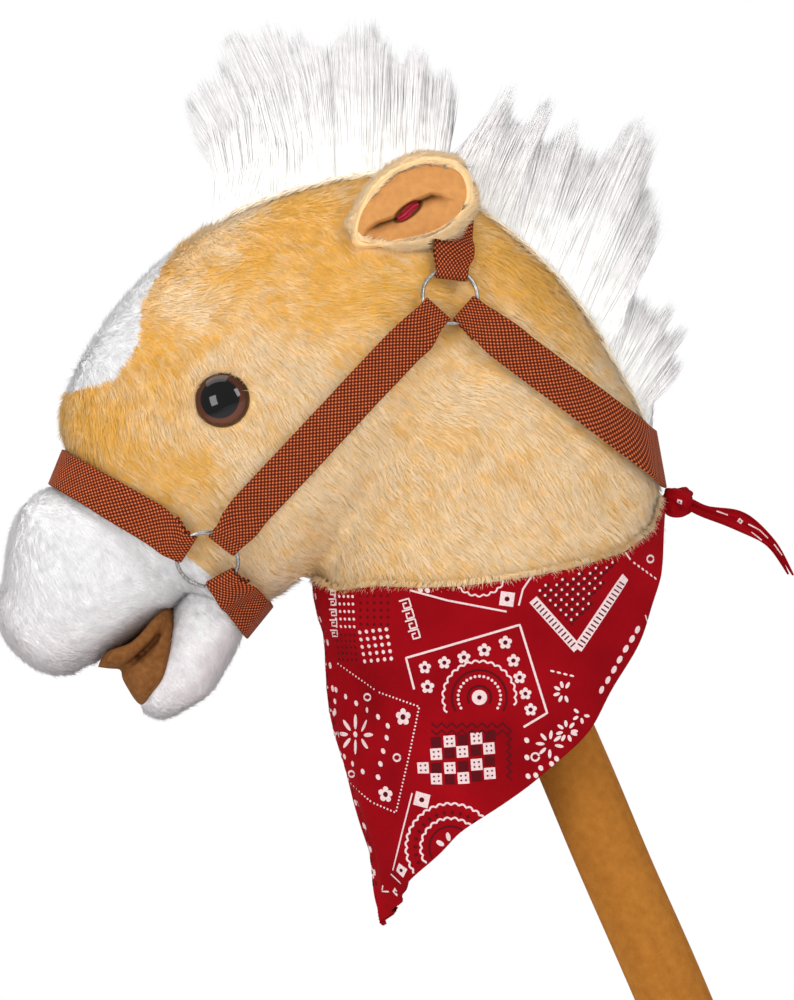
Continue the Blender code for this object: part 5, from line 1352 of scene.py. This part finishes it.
def tied_knot():
    """A single knot of folded cloth, as one soft mass."""
    turn = np.linspace(0.0, math.tau, 161)[:-1]
    path = np.stack((-2.4 * np.sin(3.0 * turn), np.sin(turn) + 2.0 * np.sin(2.0 * turn),
                     np.cos(turn) - 2.0 * np.cos(2.0 * turn)), axis=1)
    path *= np.array((0.00160, 0.00150, 0.00150))
    ahead = unit(np.roll(path, -1, axis=0) - np.roll(path, 1, axis=0))
    aside = unit(np.cross(ahead, path + 0.0001))
    above = np.cross(aside, ahead)
    angles = np.arange(28) * math.tau / 28
    pleats = 1.0 + 0.13 * np.cos(5.0 * angles[None, :] + 2.0 * turn[:, None])
    rings = path[:, None] + 0.0037 * pleats[..., None] * (
        np.cos(angles)[None, :, None] * aside[:, None] + np.sin(angles)[None, :, None] * above[:, None])
    rings = placed(rings.reshape(-1, 3) + np.array(KNOT_PLACE)).reshape(rings.shape)
    halves = [lofted("knot_turn", rings[:84]), lofted("knot_return", np.concatenate((rings[78:], rings[:4])))]
    return sewn_together("neckerchief_knot", halves, 0.00055, 3)


def folded_tail(name, sign):
    """One end of the scarf: a flat fold with pleats along it, which narrows to its corner."""
    rows = curve_through(TAIL_LINE, 9)
    rings = []
    across = np.linspace(-1.0, 1.0, 15)
    for index, (x, z, half) in enumerate(rows):
        here = np.array((x, sign * 0.42 * x + sign * 0.0008, z))
        ahead = unit(rows[min(index + 1, len(rows) - 1), :2] - rows[max(index - 1, 0), :2])
        upward = np.array((-ahead[1], 0.0, ahead[0]))
        twist = 0.5 * math.sin(x * 90.0)
        upward, outward = (upward * math.cos(twist) + np.array((0.0, math.sin(twist), 0.0)),
                           np.array((0.0, math.cos(twist), 0.0)) - upward * math.sin(twist))
        pleat = 0.00095 * min(1.0, half / 0.003) * np.cos(across * 7.0 + x * 60.0)
        thick = 0.0004 + 0.0004 * min(1.0, half / 0.003)
        face = here + np.outer(across * half, upward) + np.outer(pleat + thick, outward)
        back = here + np.outer(across[::-1] * half, upward) + np.outer(pleat[::-1] - thick, outward)
        rings.append(placed(np.vstack((face, back)) + np.array(KNOT_PLACE)))
    tail = lofted(name, rings)
    soften = tail.modifiers.new("soften", "SUBSURF")
    soften.levels = soften.render_levels = 1
    apply_modifiers(tail)
    return tail


knot_pieces = [tied_knot(), folded_tail("neckerchief_tail_left", -1.0),
               folded_tail("neckerchief_tail_right", 1.0)]
for piece in knot_pieces:
    piece.data.materials.append(cotton)
    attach(piece, "horse")
    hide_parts("bandana_knot")


# Neckerchief print
# A bandana pattern in pinkish white and maroon inks: flowers, scalloped rings, keys, dots and
# ladders. It is drafted in half millimetres from the drawing's upper left corner, the same for
# both sides, and each figure lies on the cloth as a thin closed film of ink.
PRINTED_LINES = (
    ("white", 2.2, ((414, 687), (406, 656), (518, 623), (545, 710), (522, 724))),
    ("white", 1.9, ((410, 589), (447, 599), (505, 610))),
    ("white", 1.8, ((529, 576), (521, 588), (517, 604))),
    ("white", 1.9, ((415, 782), (447, 790), (509, 801))),
    ("white", 1.5, ((412, 790), (402, 830), (393, 868))),
    ("white", 1.7, ((391, 872), (401, 881))),
    ("white", 1.7, ((644, 609), (579, 689), (601, 714))),
    ("white", 1.5, ((643, 614), (647, 627))),
    ("white", 1.6, ((623, 552), (628, 559))),
    ("white", 1.6, ((659, 582), (661, 587), (658, 592))),
    ("white", 1.5, ((383, 884), (382, 890), (389, 890))),
    ("white", 1.4, ((665, 552), (663, 566), (665, 574))), ("white", 1.3, ((747, 524), (758, 530), (766, 538))),
    ("white", 1.3, ((750, 532), (760, 540))), ("white", 1.3, ((772, 544), (780, 555))),
    ("white", 1.3, ((716, 511), (727, 515))),
)
BROKEN_LINES = (
    (1.0, 3.6, 1.0, ((337, 662), (378, 690), (419, 704), (408, 757), (396, 810), (372, 800), (349, 781))),
    (1.1, 5.2, 2.2, ((630, 561), (658, 581))),
    (1.1, 6.6, 2.4, ((547, 668), (576, 675))),
)
SCALLOPED = (
    (478.3, 694.8, 34.5, 155, 372, 1.9), (478, 566, 27, 30, 160, 1.6), (450.5, 844.5, 43, 145, 325, 2.0),
    (450.5, 844.5, 28.5, 148, 332, 2.0),
)
FLOWERS = (
    (424.5, 665.3, 6.4), (443.7, 660.5, 6.4), (463, 655.2, 6.6), (483, 648, 6.8), (503.8, 640.5, 6.8),
    (511.8, 658.4, 6.6), (518, 675, 6.4), (523.7, 691, 6.2), (528.8, 706.7, 6.4), (427.2, 684.4, 6.8),
    (403, 714.4, 8.6), (385.8, 791.8, 8.2),
)
FRAMED_DOTS = ((505.4, 597.5, 7.0, 8), (421.6, 796.6, 7.4, 12), (401.2, 867.6, 5.4, 25), (396, 890, 3.4, 20),
               (739, 521, 2.6, 30), (679, 502, 2.6, 10))
CHECKS = (
    (448.8, 738.3), (475.4, 735.4), (435.7, 751.0), (461.5, 748.5), (487.8, 745.3), (422.8, 764.7),
    (449.2, 764.7),
    (475.6, 761.2), (436.0, 775.5), (462.6, 774.5), (488.6, 770.0),
)
DARK_CHECKS = (
    (462.2, 736.8), (489.0, 732.5), (448.8, 750.0), (474.8, 747.5), (436.0, 764.7), (462.4, 762.8),
    (488.6, 757.8),
    (449.2, 776.0), (475.6, 773.0), (435.5, 739.0),
)
DOT_GRIDS = (
    ("white", (335.5, 595.5), (4.4, 0.0), (0.4, 7.5), 5, 5, 1.6),
    ("maroon", (361.0, 594.6), (6.75, 0.0), (0.0, 7.1), 5, 5, 1.6),
    ("white", (360.2, 631.0), (6.6, -0.8), (1.2, 7.25), 5, 5, 2.1),
    ("maroon", (337.0, 634.0), (4.4, 0.0), (0.5, 6.2), 5, 5, 1.5),
)
OVALS = (
    (346.0, 695.6), (356.6, 702.0), (367.4, 708.3), (378.3, 714.7), (388.0, 723.5), (386.9, 735.4),
    (383.4, 748.7),
    (380.7, 761.5), (378.3, 774.8), (363.0, 769.5), (353.0, 762.3), (344.8, 755.5), (336.3, 689.2),
    (335.2, 700.8),
    (334.0, 713.0), (525.2, 754.0), (538.9, 764.5), (526.4, 772.6), (534.0, 771.7), (549.6, 760.4),
    (554.5, 755.3),
    (572.6, 743.5), (525.0, 737.0), (420.0, 588.6), (427.0, 589.0),
)
BEADS = (
    (635.0, 628.4), (629.5, 637.5), (623.2, 647.2), (617.0, 657.8), (611.4, 667.7), (605.3, 678.0),
    (599.0, 687.5),
    (605.9, 695.2),
)
BURSTS = (
    (355.8, 733.0, 5.0, 20.0, 2.1, 0, 360, 8), (561.6, 689.3, 4.0, 11.0, 1.7, 70, 300, 6),
    (547.7, 741.0, 5.0, 14.0, 1.7, 90, 370, 7), (564.5, 728.0, 4.0, 11.0, 1.7, 20, 360, 8),
    (578.4, 712.0, 3.0, 9.0, 1.6, 10, 220, 4), (450.5, 844.5, 7.0, 16.0, 2.6, 150, 310, 4),
)
SMALL_RINGS = ((367.7, 695.6, 3.2), (397.0, 754.8, 3.4), (351.8, 772.7, 3.0), (533.4, 753.5, 3.8),
               (648.4, 558.5, 3.4))
KEYS = (((399, 600), (411, 640), 4, 1.0), ((329, 588), (331, 640), 5, 0.7))
ROSETTE, HALF_ROSETTE = (478.3, 694.8), (450.5, 844.5)
LADDERS = (((531, 598), (575, 647)), ((575, 647), (623, 576)))
films = {"white": ([], []), "maroon": ([], [])}
blocks, faces = [scarf_places.reshape(-1, 3)], scarf_quads.tolist()
for piece in knot_pieces:
    start = sum(len(block) for block in blocks)
    blocks.append(vertex_array(piece.data, "co"))
    faces += [[corner + start for corner in face.vertices] for face in piece.data.polygons]
cloth_face = BVHTree.FromPolygons(np.vstack(blocks).tolist(), faces)


def cloth_spot(view, u, v):
    """Where a drafted place meets the cloth, with the cloth's outward, right and upward there."""
    across, up = u * DRAWING_STEP, DRAWING_TOP - v * DRAWING_STEP
    start, way, right = {
        "left": ((across + DRAWING_LEFT, -0.2, up), (0.0, 1.0, 0.0), (1.0, 0.0, 0.0)),
        "right": ((across + DRAWING_LEFT, 0.2, up), (0.0, -1.0, 0.0), (1.0, 0.0, 0.0)),
        "front": ((-0.3, across, up), (1.0, 0.0, 0.0), (0.0, 1.0, 0.0)),
    }[view]
    way, right, upward = np.array((way, right, (0.0, 0.0, 1.0))) @ head_turn.T
    spot, normal = cloth_face.ray_cast(placed([start])[0].tolist(), way.tolist())[:2]
    if spot is None:
        return None
    normal = np.array(normal) * -np.sign(np.dot(normal, way))
    right = unit(right - normal * (right @ normal))
    side = np.cross(normal, right)
    return np.array(spot), normal, right, side * np.sign(side @ upward)


def add_film(ink, points, faces):
    """Adds a closed film to an ink."""
    blocks, pattern = films[ink]
    pattern.append(np.array(faces) + sum(len(block) for block in blocks))
    blocks.append(np.array(points))


def figure(ink, view, u, v, outline, layer=0):
    """A filled figure round a drafted place, which follows the cloth."""
    found = cloth_spot(view, u, v)
    if found is None:
        return
    spot, normal, right, upward = found
    flat = np.vstack(([(0.0, 0.0)], outline)) * DRAWING_STEP
    top, under = [], []
    for point in (spot + np.outer(flat[:, 0], right) - np.outer(flat[:, 1], upward)).tolist():
        near, facing = cloth_face.find_nearest(point)[:2]
        facing = np.array(facing) * np.sign(np.dot(facing, normal))
        top.append(np.array(near) + facing * (0.00014 + 0.00009 * layer))
        under.append(np.array(near) - facing * 0.00005)
    count, faces = len(flat), []
    for here in range(1, count):
        there = here % (count - 1) + 1
        faces += [(0, here, there), (count, count + there, count + here), (here, count + here, count + there),
                  (here, count + there, there)]
    add_film(ink, top + under, faces)


def ribbon(ink, view, path, width, layer=0, step=2.0):
    """A drafted line of one width, which follows the cloth."""
    places = [path[0]]
    for (u0, v0), (u1, v1) in zip(path, path[1:]):
        count = max(1, int(math.hypot(u1 - u0, v1 - v0) / step))
        places += [(u0 + (u1 - u0) * k / count, v0 + (v1 - v0) * k / count) for k in range(1, count + 1)]
    found = [cloth_spot(view, u, v) for u, v in places]
    found = [spot[:2] for spot in found if spot is not None]
    if len(found) < 2:
        return
    heart, normal = np.array([spot[0] for spot in found]), np.array([spot[1] for spot in found])
    if np.linalg.norm(np.diff(heart, axis=0), axis=1).max() > 0.012:
        return
    side = unit(np.cross(normal, np.gradient(heart, axis=0))) * width * 0.00025
    lift = normal * (0.00014 + 0.00009 * layer)
    rings = np.stack((heart + side + lift, heart - side + lift, heart - side - normal * 0.00005,
                      heart + side - normal * 0.00005), axis=1)
    faces = [(0, 1, 2), (0, 2, 3)]
    for row in range(len(rings) - 1):
        for corner in range(4):
            a, b = row * 4 + corner, row * 4 + (corner + 1) % 4
            faces += [(a, b, b + 4), (a, b + 4, a + 4)]
    last = len(rings) * 4 - 4
    add_film(ink, rings.reshape(-1, 3), faces + [(last, last + 2, last + 1), (last, last + 3, last + 2)])


def oval(wide, tall, tilt=0.0, sides=10):
    """The outline of an oval, turned by a tilt in degrees."""
    turn = np.arange(sides) * math.tau / sides
    lean = math.radians(tilt)
    x, y = wide * np.cos(turn), tall * np.sin(turn)
    return np.stack((x * math.cos(lean) - y * math.sin(lean), x * math.sin(lean) + y * math.cos(lean)), axis=1)


def petalled(radius):
    """The outline of a five-petalled flower."""
    turn = np.arange(40) * math.tau / 40
    return oval(radius, radius, -90.0, 40) * (0.62 + 0.38 * np.abs(np.cos(2.5 * turn)) ** 0.7)[:, None]


def squared(half, tilt=0.0):
    """The outline of a square, turned by a tilt in degrees."""
    turn = np.arange(16) * math.tau / 16
    reach = half / np.maximum(np.abs(np.cos(turn)), np.abs(np.sin(turn)))
    return oval(1.0, 1.0, tilt, 16) * reach[:, None]


def bowed(u, v, radius, first, last, scallop=0.0):
    """A drafted arc, with scallops if asked for; angles in degrees, clockwise from the right."""
    turn = np.radians(np.arange(first, last + 1, max(1.0, 60.0 / radius)))
    reach = radius + scallop * np.abs(np.sin(turn * round(radius * 0.42)))
    return list(zip(u + reach * np.cos(turn), v + reach * np.sin(turn)))


def around(centre, radius, turn):
    """The drafted place at an angle in degrees round a centre."""
    aim = math.radians(turn)
    return centre[0] + radius * math.cos(aim), centre[1] + radius * math.sin(aim)


def print_side(view):
    """The whole pattern of one side."""
    for ink, width, path in PRINTED_LINES:
        ribbon(ink, view, path, width)
    for radius, pitch, length, path in BROKEN_LINES:
        for (u0, v0), (u1, v1) in zip(path, path[1:]):
            run, tilt = math.hypot(u1 - u0, v1 - v0), math.degrees(math.atan2(v1 - v0, u1 - u0))
            for k in range(int(run / pitch)):
                share = (k + 0.5) * pitch / run
                figure("white", view, u0 + (u1 - u0) * share, v0 + (v1 - v0) * share,
                       oval(length, radius, tilt, 8))
    for u, v, radius, first, last, width in SCALLOPED:
        ribbon("white", view, bowed(u, v, radius, first, last, 2.2), width, 0, 1.5)
    for radius, width in ((11.5, 2.0), (27.0, 2.0)):
        ribbon("maroon", view, bowed(*ROSETTE, radius, 150, 390), width)
    ribbon("maroon", view, bowed(*HALF_ROSETTE, 21.5, 150, 320), 1.8)
    for turn in range(150, 396, 12):
        figure("white", view, *around(ROSETTE, 21, turn), oval(1.5, 1.5, 0.0, 8))
    for turn in range(155, 320, 13):
        figure("maroon", view, *around(HALF_ROSETTE, 35.5, turn), oval(2.2, 1.6, turn, 8))
    for u, v, radius in ((*ROSETTE, 7.6), (*HALF_ROSETTE, 4.4)):
        figure("white", view, u, v, oval(radius, radius, 0.0, 18))
        figure("maroon", view, u, v, oval(radius * 0.3, radius * 0.3), 1)
    for u, v, radius in FLOWERS:
        figure("white", view, u, v, petalled(radius))
        figure("maroon", view, u, v, oval(radius * 0.34, radius * 0.34), 1)
    for u, v, half, tilt in FRAMED_DOTS:
        figure("white", view, u, v, squared(half, tilt))
        figure("maroon", view, u, v, oval(half * 0.36, half * 0.36), 1)
    for u, v in CHECKS:
        figure("white", view, u, v, squared(5.7, -4.0))
        for du, dv in ((-2.4, -2.2), (2.2, -2.6), (-2.1, 2.4), (2.5, 2.1)):
            figure("maroon", view, u + du, v + dv, oval(1.05, 1.05, 0.0, 6), 1)
    for u, v in DARK_CHECKS:
        figure("maroon", view, u, v, squared(5.0, -4.0))
    for ink, (u, v), (du, dv), (eu, ev), across, down, radius in DOT_GRIDS:
        for i in range(across):
            for j in range(down):
                figure(ink, view, u + du * i + eu * j, v + dv * i + ev * j, oval(radius, radius, 0.0, 8))
    for u, v in OVALS:
        figure("white", view, u, v, oval(3.0, 2.4, 60.0))
    for u, v in BEADS:
        figure("white", view, u, v, oval(4.2, 2.7, -58.0, 12))
    for u, v, near, far, half, first, last, count in BURSTS:
        for turn in np.linspace(first, last, count, endpoint=last - first < 360):
            figure("white", view, *around((u, v), (near + far) / 2.0, turn),
                   oval((far - near) / 2.0, half, turn, 12))
    figure("white", view, 355.8, 733.0, oval(3.2, 2.6, 60.0))
    for u, v, radius in SMALL_RINGS:
        ribbon("white", view, bowed(u, v, radius, 0, 360), 1.9, 0, 1.2)
    for (u0, v0), (u1, v1), count, size in KEYS:
        run = np.array((u1 - u0, v1 - v0)) / math.hypot(u1 - u0, v1 - v0)
        for k in range(count):
            start = np.array((u0, v0)) + (np.array((u1 - u0, v1 - v0)) * k / count)
            hook = np.array(((0, 0), (0, 10), (8.5, 10), (8.5, 3), (3.5, 3), (3.5, 6.8))) * size
            ribbon("white", view, [tuple(start + run * a + np.array((run[1], -run[0])) * b)
                                   for a, b in hook], 1.6)
    for (u0, v0), (u1, v1) in LADDERS:
        ribbon("white", view, ((u0, v0), (u1, v1)), 9.6)
        run = np.array((u1 - u0, v1 - v0)) / math.hypot(u1 - u0, v1 - v0)
        aside = np.array((-run[1], run[0]))
        for k in range(int(math.hypot(u1 - u0, v1 - v0) / 4.6) - 1):
            rung = np.array((u0, v0)) + run * (4.6 * (k + 1))
            ribbon("maroon", view, (tuple(rung - aside * 2.6), tuple(rung + aside * 3.6)), 1.5, 1)
    for i in range(-2, 12):
        for j in range(12):
            u, v = 537.8 + 5.2 * i + 5.7 * j, 589.2 + 4.8 * i - 5.2 * j
            if v > 583.0 - 0.335 * (u - 540.0) and u * 1.48 + v < 1470.0 and v < 590.0 + (u - 536.0) * 0.92:
                figure("white", view, u, v, oval(1.3, 1.3, 0.0, 8))
                figure("maroon", view, u + 2.7, v, squared(1.5, 45.0))
                figure("maroon", view, u, v + 4.0, squared(1.3, 45.0))
    for (u, v), (du, dv), (eu, ev), count in (((431, 720), (5, 0), (0, 5), 16), ((431, 727), (5, 0),
                                                                                 (0, 5), 16),
                                              ((505, 724), (0, 4), (5, 0), 14)):
        path = [(u + du * k + eu * (k % 2), v + dv * k + ev * (k % 2)) for k in range(count)]
        ribbon("maroon", view, path, 1.6)


for view in ("left", "right"):
    print_side(view)
for row in range(13):
    v = 596.0 + 23.0 * row
    wide = max(4.0, 26.0 - row * 1.6)
    figure("white", "front", 0.0, v, petalled(7.0) if row % 2 else squared(5.0, 45.0))
    figure("maroon", "front", 0.0, v, oval(2.2, 2.2), 1)
    for side in (-1.0, 1.0):
        figure("white", "front", side * wide, v, oval(2.4, 3.4))
        figure("maroon", "front", side * wide * 0.55, v + 11.0, squared(2.2, 45.0))
        figure("white", "front", side * wide * 0.55, v - 1.0, oval(1.6, 1.6, 0.0, 8))

inks = {"white": (0.76, 0.58, 0.58), "maroon": (0.090, 0.003, 0.006)}
for ink, (blocks, pattern) in films.items():
    piece = piece_of("neckerchief_print_" + ink, np.vstack(blocks), np.vstack(pattern), smooth=False)
    form = bmesh.new()
    form.from_mesh(piece.data)
    bmesh.ops.recalc_face_normals(form, faces=form.faces[:])
    form.to_mesh(piece.data)
    form.free()
    finish, tree, shader = new_finish(ink + "_ink", 0.8)
    thin = [tone * 0.80 for tone in inks[ink]]
    dye_with(tree, shader, mottle(tree, 900.0, 4.0), (0.28, thin), (0.55, inks[ink]))
    piece.data.materials.append(finish)
    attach(piece, "horse")


# Neck's base
# A round of golden cloth closes the neck under the stuffing; it is gathered into a collar on the
# stick's foam, and a cable tie clamps the collar.
PANEL_TOP = 0.5837
panel = turned("neck_base_cloth", [
    (0.0430, PANEL_TOP), (0.0425, PANEL_TOP - 0.0012), (0.0380, PANEL_TOP - 0.0014),
    (0.0330, PANEL_TOP - 0.0010),
    (0.0280, PANEL_TOP - 0.0012), (0.0240, PANEL_TOP - 0.0018), (0.0212, PANEL_TOP - 0.0032),
    (0.0198, PANEL_TOP - 0.0060), (0.0194, PANEL_TOP - 0.0100), (0.0194, PANEL_TOP - 0.0150),
    (0.0196, PANEL_TOP - 0.0195),
], 192)
places = vertex_array(panel.data, "co")
away, turn = np.hypot(places[:, 0], places[:, 1]), np.arctan2(places[:, 1], places[:, 0])
gather = (np.sin(24.0 * turn) + 0.4 * np.sin(41.0 * turn + 1.0)) * soft_step(-away, -0.040, -0.022)
gather *= 0.0008 * (0.35 + 0.65 * soft_step(away, 0.0196, 0.024))
places[:, 2] += gather * soft_step(away, 0.0200, 0.0240)
places[:, :2] *= (1.0 + (0.5 * gather * (1.0 - soft_step(away, 0.0200, 0.0240)) / away))[:, None]
moved(panel, places)
if sum(face.normal.z * face.area for face in panel.data.polygons) > 0.0:
    panel.data.flip_normals()
paint(panel, "cloth", np.tile(gold, (len(places), 1)))
walled(panel, 0.0007)
panel.data.materials.append(backing)
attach(panel, "horse")
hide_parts("neck_base_panel")


def moulded(name, low, high, roughness, shine=0.4):
    """A moulded plastic with a fine cast grain and faint flow marks, between two tones."""
    finish, tree, shader = new_finish(name, roughness, shine)
    flow = mottle(tree, 55.0, 6.0)
    dye_with(tree, shader, flow, (0.35, low), (0.70, high))
    tree.links.new(between(tree, flow, roughness - 0.1, roughness + 0.1), shader.inputs["Roughness"])
    bumped(tree, shader, mottle(tree, 1800.0, 3.0), 0.0002, 0.5)
    return finish


def refinished(names, finish):
    """Gives CAD nodes that keep their shape a finish of their own."""
    for name in names:
        for slot in frame["nodes"][name].material_slots:
            slot.material = finish


refinished(["neck_tie"], moulded("tie_nylon", (0.020, 0.020, 0.021), (0.035, 0.035, 0.037), 0.45))


# Stick
# A wooden dowel in a tube of golden-brown foam rubber, which runs from the foot cap into the
# neck; a plastic cap closes the foot, and another covers the dowel's end in the head.
SLEEVE_RADIUS, BORE_RADIUS = 0.0180, 0.0113
SLEEVE_FOOT, SLEEVE_TOP = 0.0043, 0.6140
heights = np.linspace(SLEEVE_FOOT + 0.0012, SLEEVE_TOP - 0.0012, 120)
sleeve = turned("foam_tube", [
    (BORE_RADIUS, SLEEVE_TOP), (SLEEVE_RADIUS - 0.0012, SLEEVE_TOP),
    (SLEEVE_RADIUS - 0.0004, SLEEVE_TOP - 0.0004),
    *[(SLEEVE_RADIUS, height) for height in heights[::-1]],
    (SLEEVE_RADIUS - 0.0004, SLEEVE_FOOT + 0.0004), (SLEEVE_RADIUS - 0.0012, SLEEVE_FOOT),
    (BORE_RADIUS, SLEEVE_FOOT), *[(BORE_RADIUS, height) for height in heights[::12]], (BORE_RADIUS, SLEEVE_TOP),
])
places = vertex_array(sleeve.data, "co")
shown = (np.hypot(places[:, 0], places[:, 1]) > 0.0175) & (places[:, 2] > 0.034) & (places[:, 2] < 0.560)
ripple = waves(places * np.array((1.0, 1.0, 0.35)), 0.030, 8) * 0.00022 * shown
places[:, :2] *= (1.0 + ripple / SLEEVE_RADIUS)[:, None]
moved(sleeve, places)
foam, tree, shader = new_finish("golden_foam", 0.92, 0.08)
place = node(tree, "TexCoord").outputs["Object"]
cells = node(tree, "TexVoronoi", {"Vector": place, "Scale": 1300.0}).outputs["Distance"]
long_place = node(tree, "Mapping", {"Vector": place, "Scale": (60.0, 60.0, 7.0)}).outputs["Vector"]
mixed = reckoned(tree, "ADD", mottle(tree, 1.0, 6.0, long_place), mottle(tree, 220.0, 8.0))
mixed = reckoned(tree, "MULTIPLY", mixed, 0.5)
dye_with(tree, shader, mixed, (0.35, (0.32, 0.115, 0.016)), (0.68, (0.44, 0.172, 0.028)))
bumped(tree, shader, cells, 0.0003, 0.5)
sleeve.data.materials.append(foam)
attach(sleeve, "horse")
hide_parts("foam_sleeve")

rim = 0.0205
foot = turned("foot_cup", [
    (0.0, 0.0040), (0.0183, 0.0040), (0.0183, 0.0312), (0.0187, 0.0318), (0.0193, 0.0320), (0.0200, 0.0318),
    (rim, 0.0312), (rim, 0.0296), (0.0200, 0.0288), (0.0200, 0.0060), (0.0197, 0.0036), (0.0188, 0.0016),
    (0.0172, 0.0004), (0.0155, 0.0), (0.0140, 0.0), (0.0132, 0.0006), (0.0, 0.0006),
], 96)
foot.data.materials.append(moulded("foot_rubber", (0.016, 0.015, 0.015), (0.030, 0.028, 0.027), 0.6))
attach(foot, "horse")
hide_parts("foot_cap")

wood, tree, shader = new_finish("turned_beech", 0.6, 0.3)
place = node(tree, "TexCoord").outputs["Object"]
grain_place = node(tree, "Mapping", {"Vector": place, "Scale": (300.0, 300.0, 14.0)}).outputs["Vector"]
grain = mottle(tree, 1.0, 8.0, grain_place)
dye_with(tree, shader, grain, (0.35, (0.42, 0.24, 0.11)), (0.65, (0.62, 0.40, 0.21)))
bumped(tree, shader, grain, 0.0002, 0.5)
refinished(["stick_core"], wood)
refinished(["top_cap"], moulded("cap_plastic", (0.020, 0.020, 0.021), (0.040, 0.040, 0.042), 0.5))
refinished(["left_eye_washer", "right_eye_washer"],
           moulded("washer_plastic", (0.55, 0.54, 0.51), (0.66, 0.65, 0.62), 0.4))
refinished(["sound_box"], moulded("sound_box_plastic", (0.60, 0.60, 0.58), (0.70, 0.70, 0.68), 0.4))


# Floor, lamps and camera
# A pale studio floor, two soft boxes that show as windows in the eye, broad lamps above and
# behind, two more at the front and the nose that glossy things don't show, and a long lens
# square to the head's side.
bpy.ops.object.select_all(action="DESELECT")
bpy.ops.mesh.primitive_circle_add(vertices=96, radius=9.0, fill_type="NGON", location=(0.0, 0.0, 0.0))
floor = bpy.context.object
floor.name = "studio_floor"
floor_finish, tree, shader = new_finish("studio_floor", 0.9)
shader.inputs["Base Color"].default_value = (0.86, 0.86, 0.86, 1.0)
output = tree.nodes["Material Output"]
place = node(tree, "TexCoord").outputs["Object"]
away = node(tree, "VectorMath", {0: place}, operation="LENGTH").outputs["Value"]
seen = node(tree, "LightPath").outputs["Is Camera Ray"]
far = reckoned(tree, "MULTIPLY", between(tree, away, 0.0, 1.0, 1.6, 3.6), seen)
plain = node(tree, "Emission", {"Color": (1.0, 1.0, 1.0, 1.0), "Strength": 1.0})
faded = node(tree, "MixShader", {0: far, 1: shader.outputs[0], 2: plain.outputs[0]})
tree.links.new(faded.outputs[0], output.inputs["Surface"])
floor.data.materials.append(floor_finish)

world = bpy.data.worlds.new("studio")
bpy.context.scene.world = world
world.use_nodes = True
tree = world.node_tree
background = tree.nodes["Background"]
background.inputs["Color"].default_value = (1.0, 1.0, 1.0, 1.0)
rays = node(tree, "LightPath").outputs
seen = reckoned(tree, "MAXIMUM", rays["Is Camera Ray"], rays["Is Transmission Ray"])
tree.links.new(between(tree, seen, 0.45, 1.0), background.inputs["Strength"])


def soft_box(name, place, aim, size, watts):
    """A rectangular area lamp that looks at a point."""
    lamp = bpy.data.lights.new(name, "AREA")
    lamp.shape = "RECTANGLE"
    lamp.size, lamp.size_y = size
    lamp.energy = watts
    holder = laid_out(name, lamp)
    holder.location = place
    holder.rotation_euler = (Vector(aim) - Vector(place)).to_track_quat("-Z", "Y").to_euler()


AIM = (-0.03, 0.0, 0.70)
soft_box("left_window", (-1.3, -1.9, 1.55), AIM, (0.8, 1.0), 17.0)
soft_box("right_window", (1.6, -1.7, 1.35), AIM, (0.7, 1.0), 17.0)
soft_box("overhead", (0.0, 0.1, 2.4), AIM, (1.6, 1.6), 17.0)
soft_box("behind", (0.3, 2.0, 1.3), AIM, (1.4, 1.2), 15.0)
soft_box("front_wall", (-0.4, -4.6, 1.6), AIM, (2.4, 2.4), 43.0)
soft_box("nose_wall", (-3.6, -0.6, 1.5), AIM, (2.0, 2.0), 22.0)
for name in ("front_wall", "nose_wall"):
    bpy.data.objects[name].visible_glossy = False

CAMERA_AWAY, SHOWN_HEIGHT = 4.0, 0.5
camera = bpy.data.cameras.new("camera")
camera.sensor_fit = "VERTICAL"
camera.sensor_height = 36.0
camera.lens = camera.sensor_height * CAMERA_AWAY / SHOWN_HEIGHT
camera.clip_start, camera.clip_end = 0.1, 60.0
viewer = laid_out("camera", camera)
viewer.matrix_world = (head_place @ Matrix.Translation((-0.049, -CAMERA_AWAY, 0.0425))
                       @ Matrix.Rotation(math.pi / 2.0, 4, "X"))
bpy.context.scene.camera = viewer
bpy.context.scene.view_settings.view_transform = "Standard"
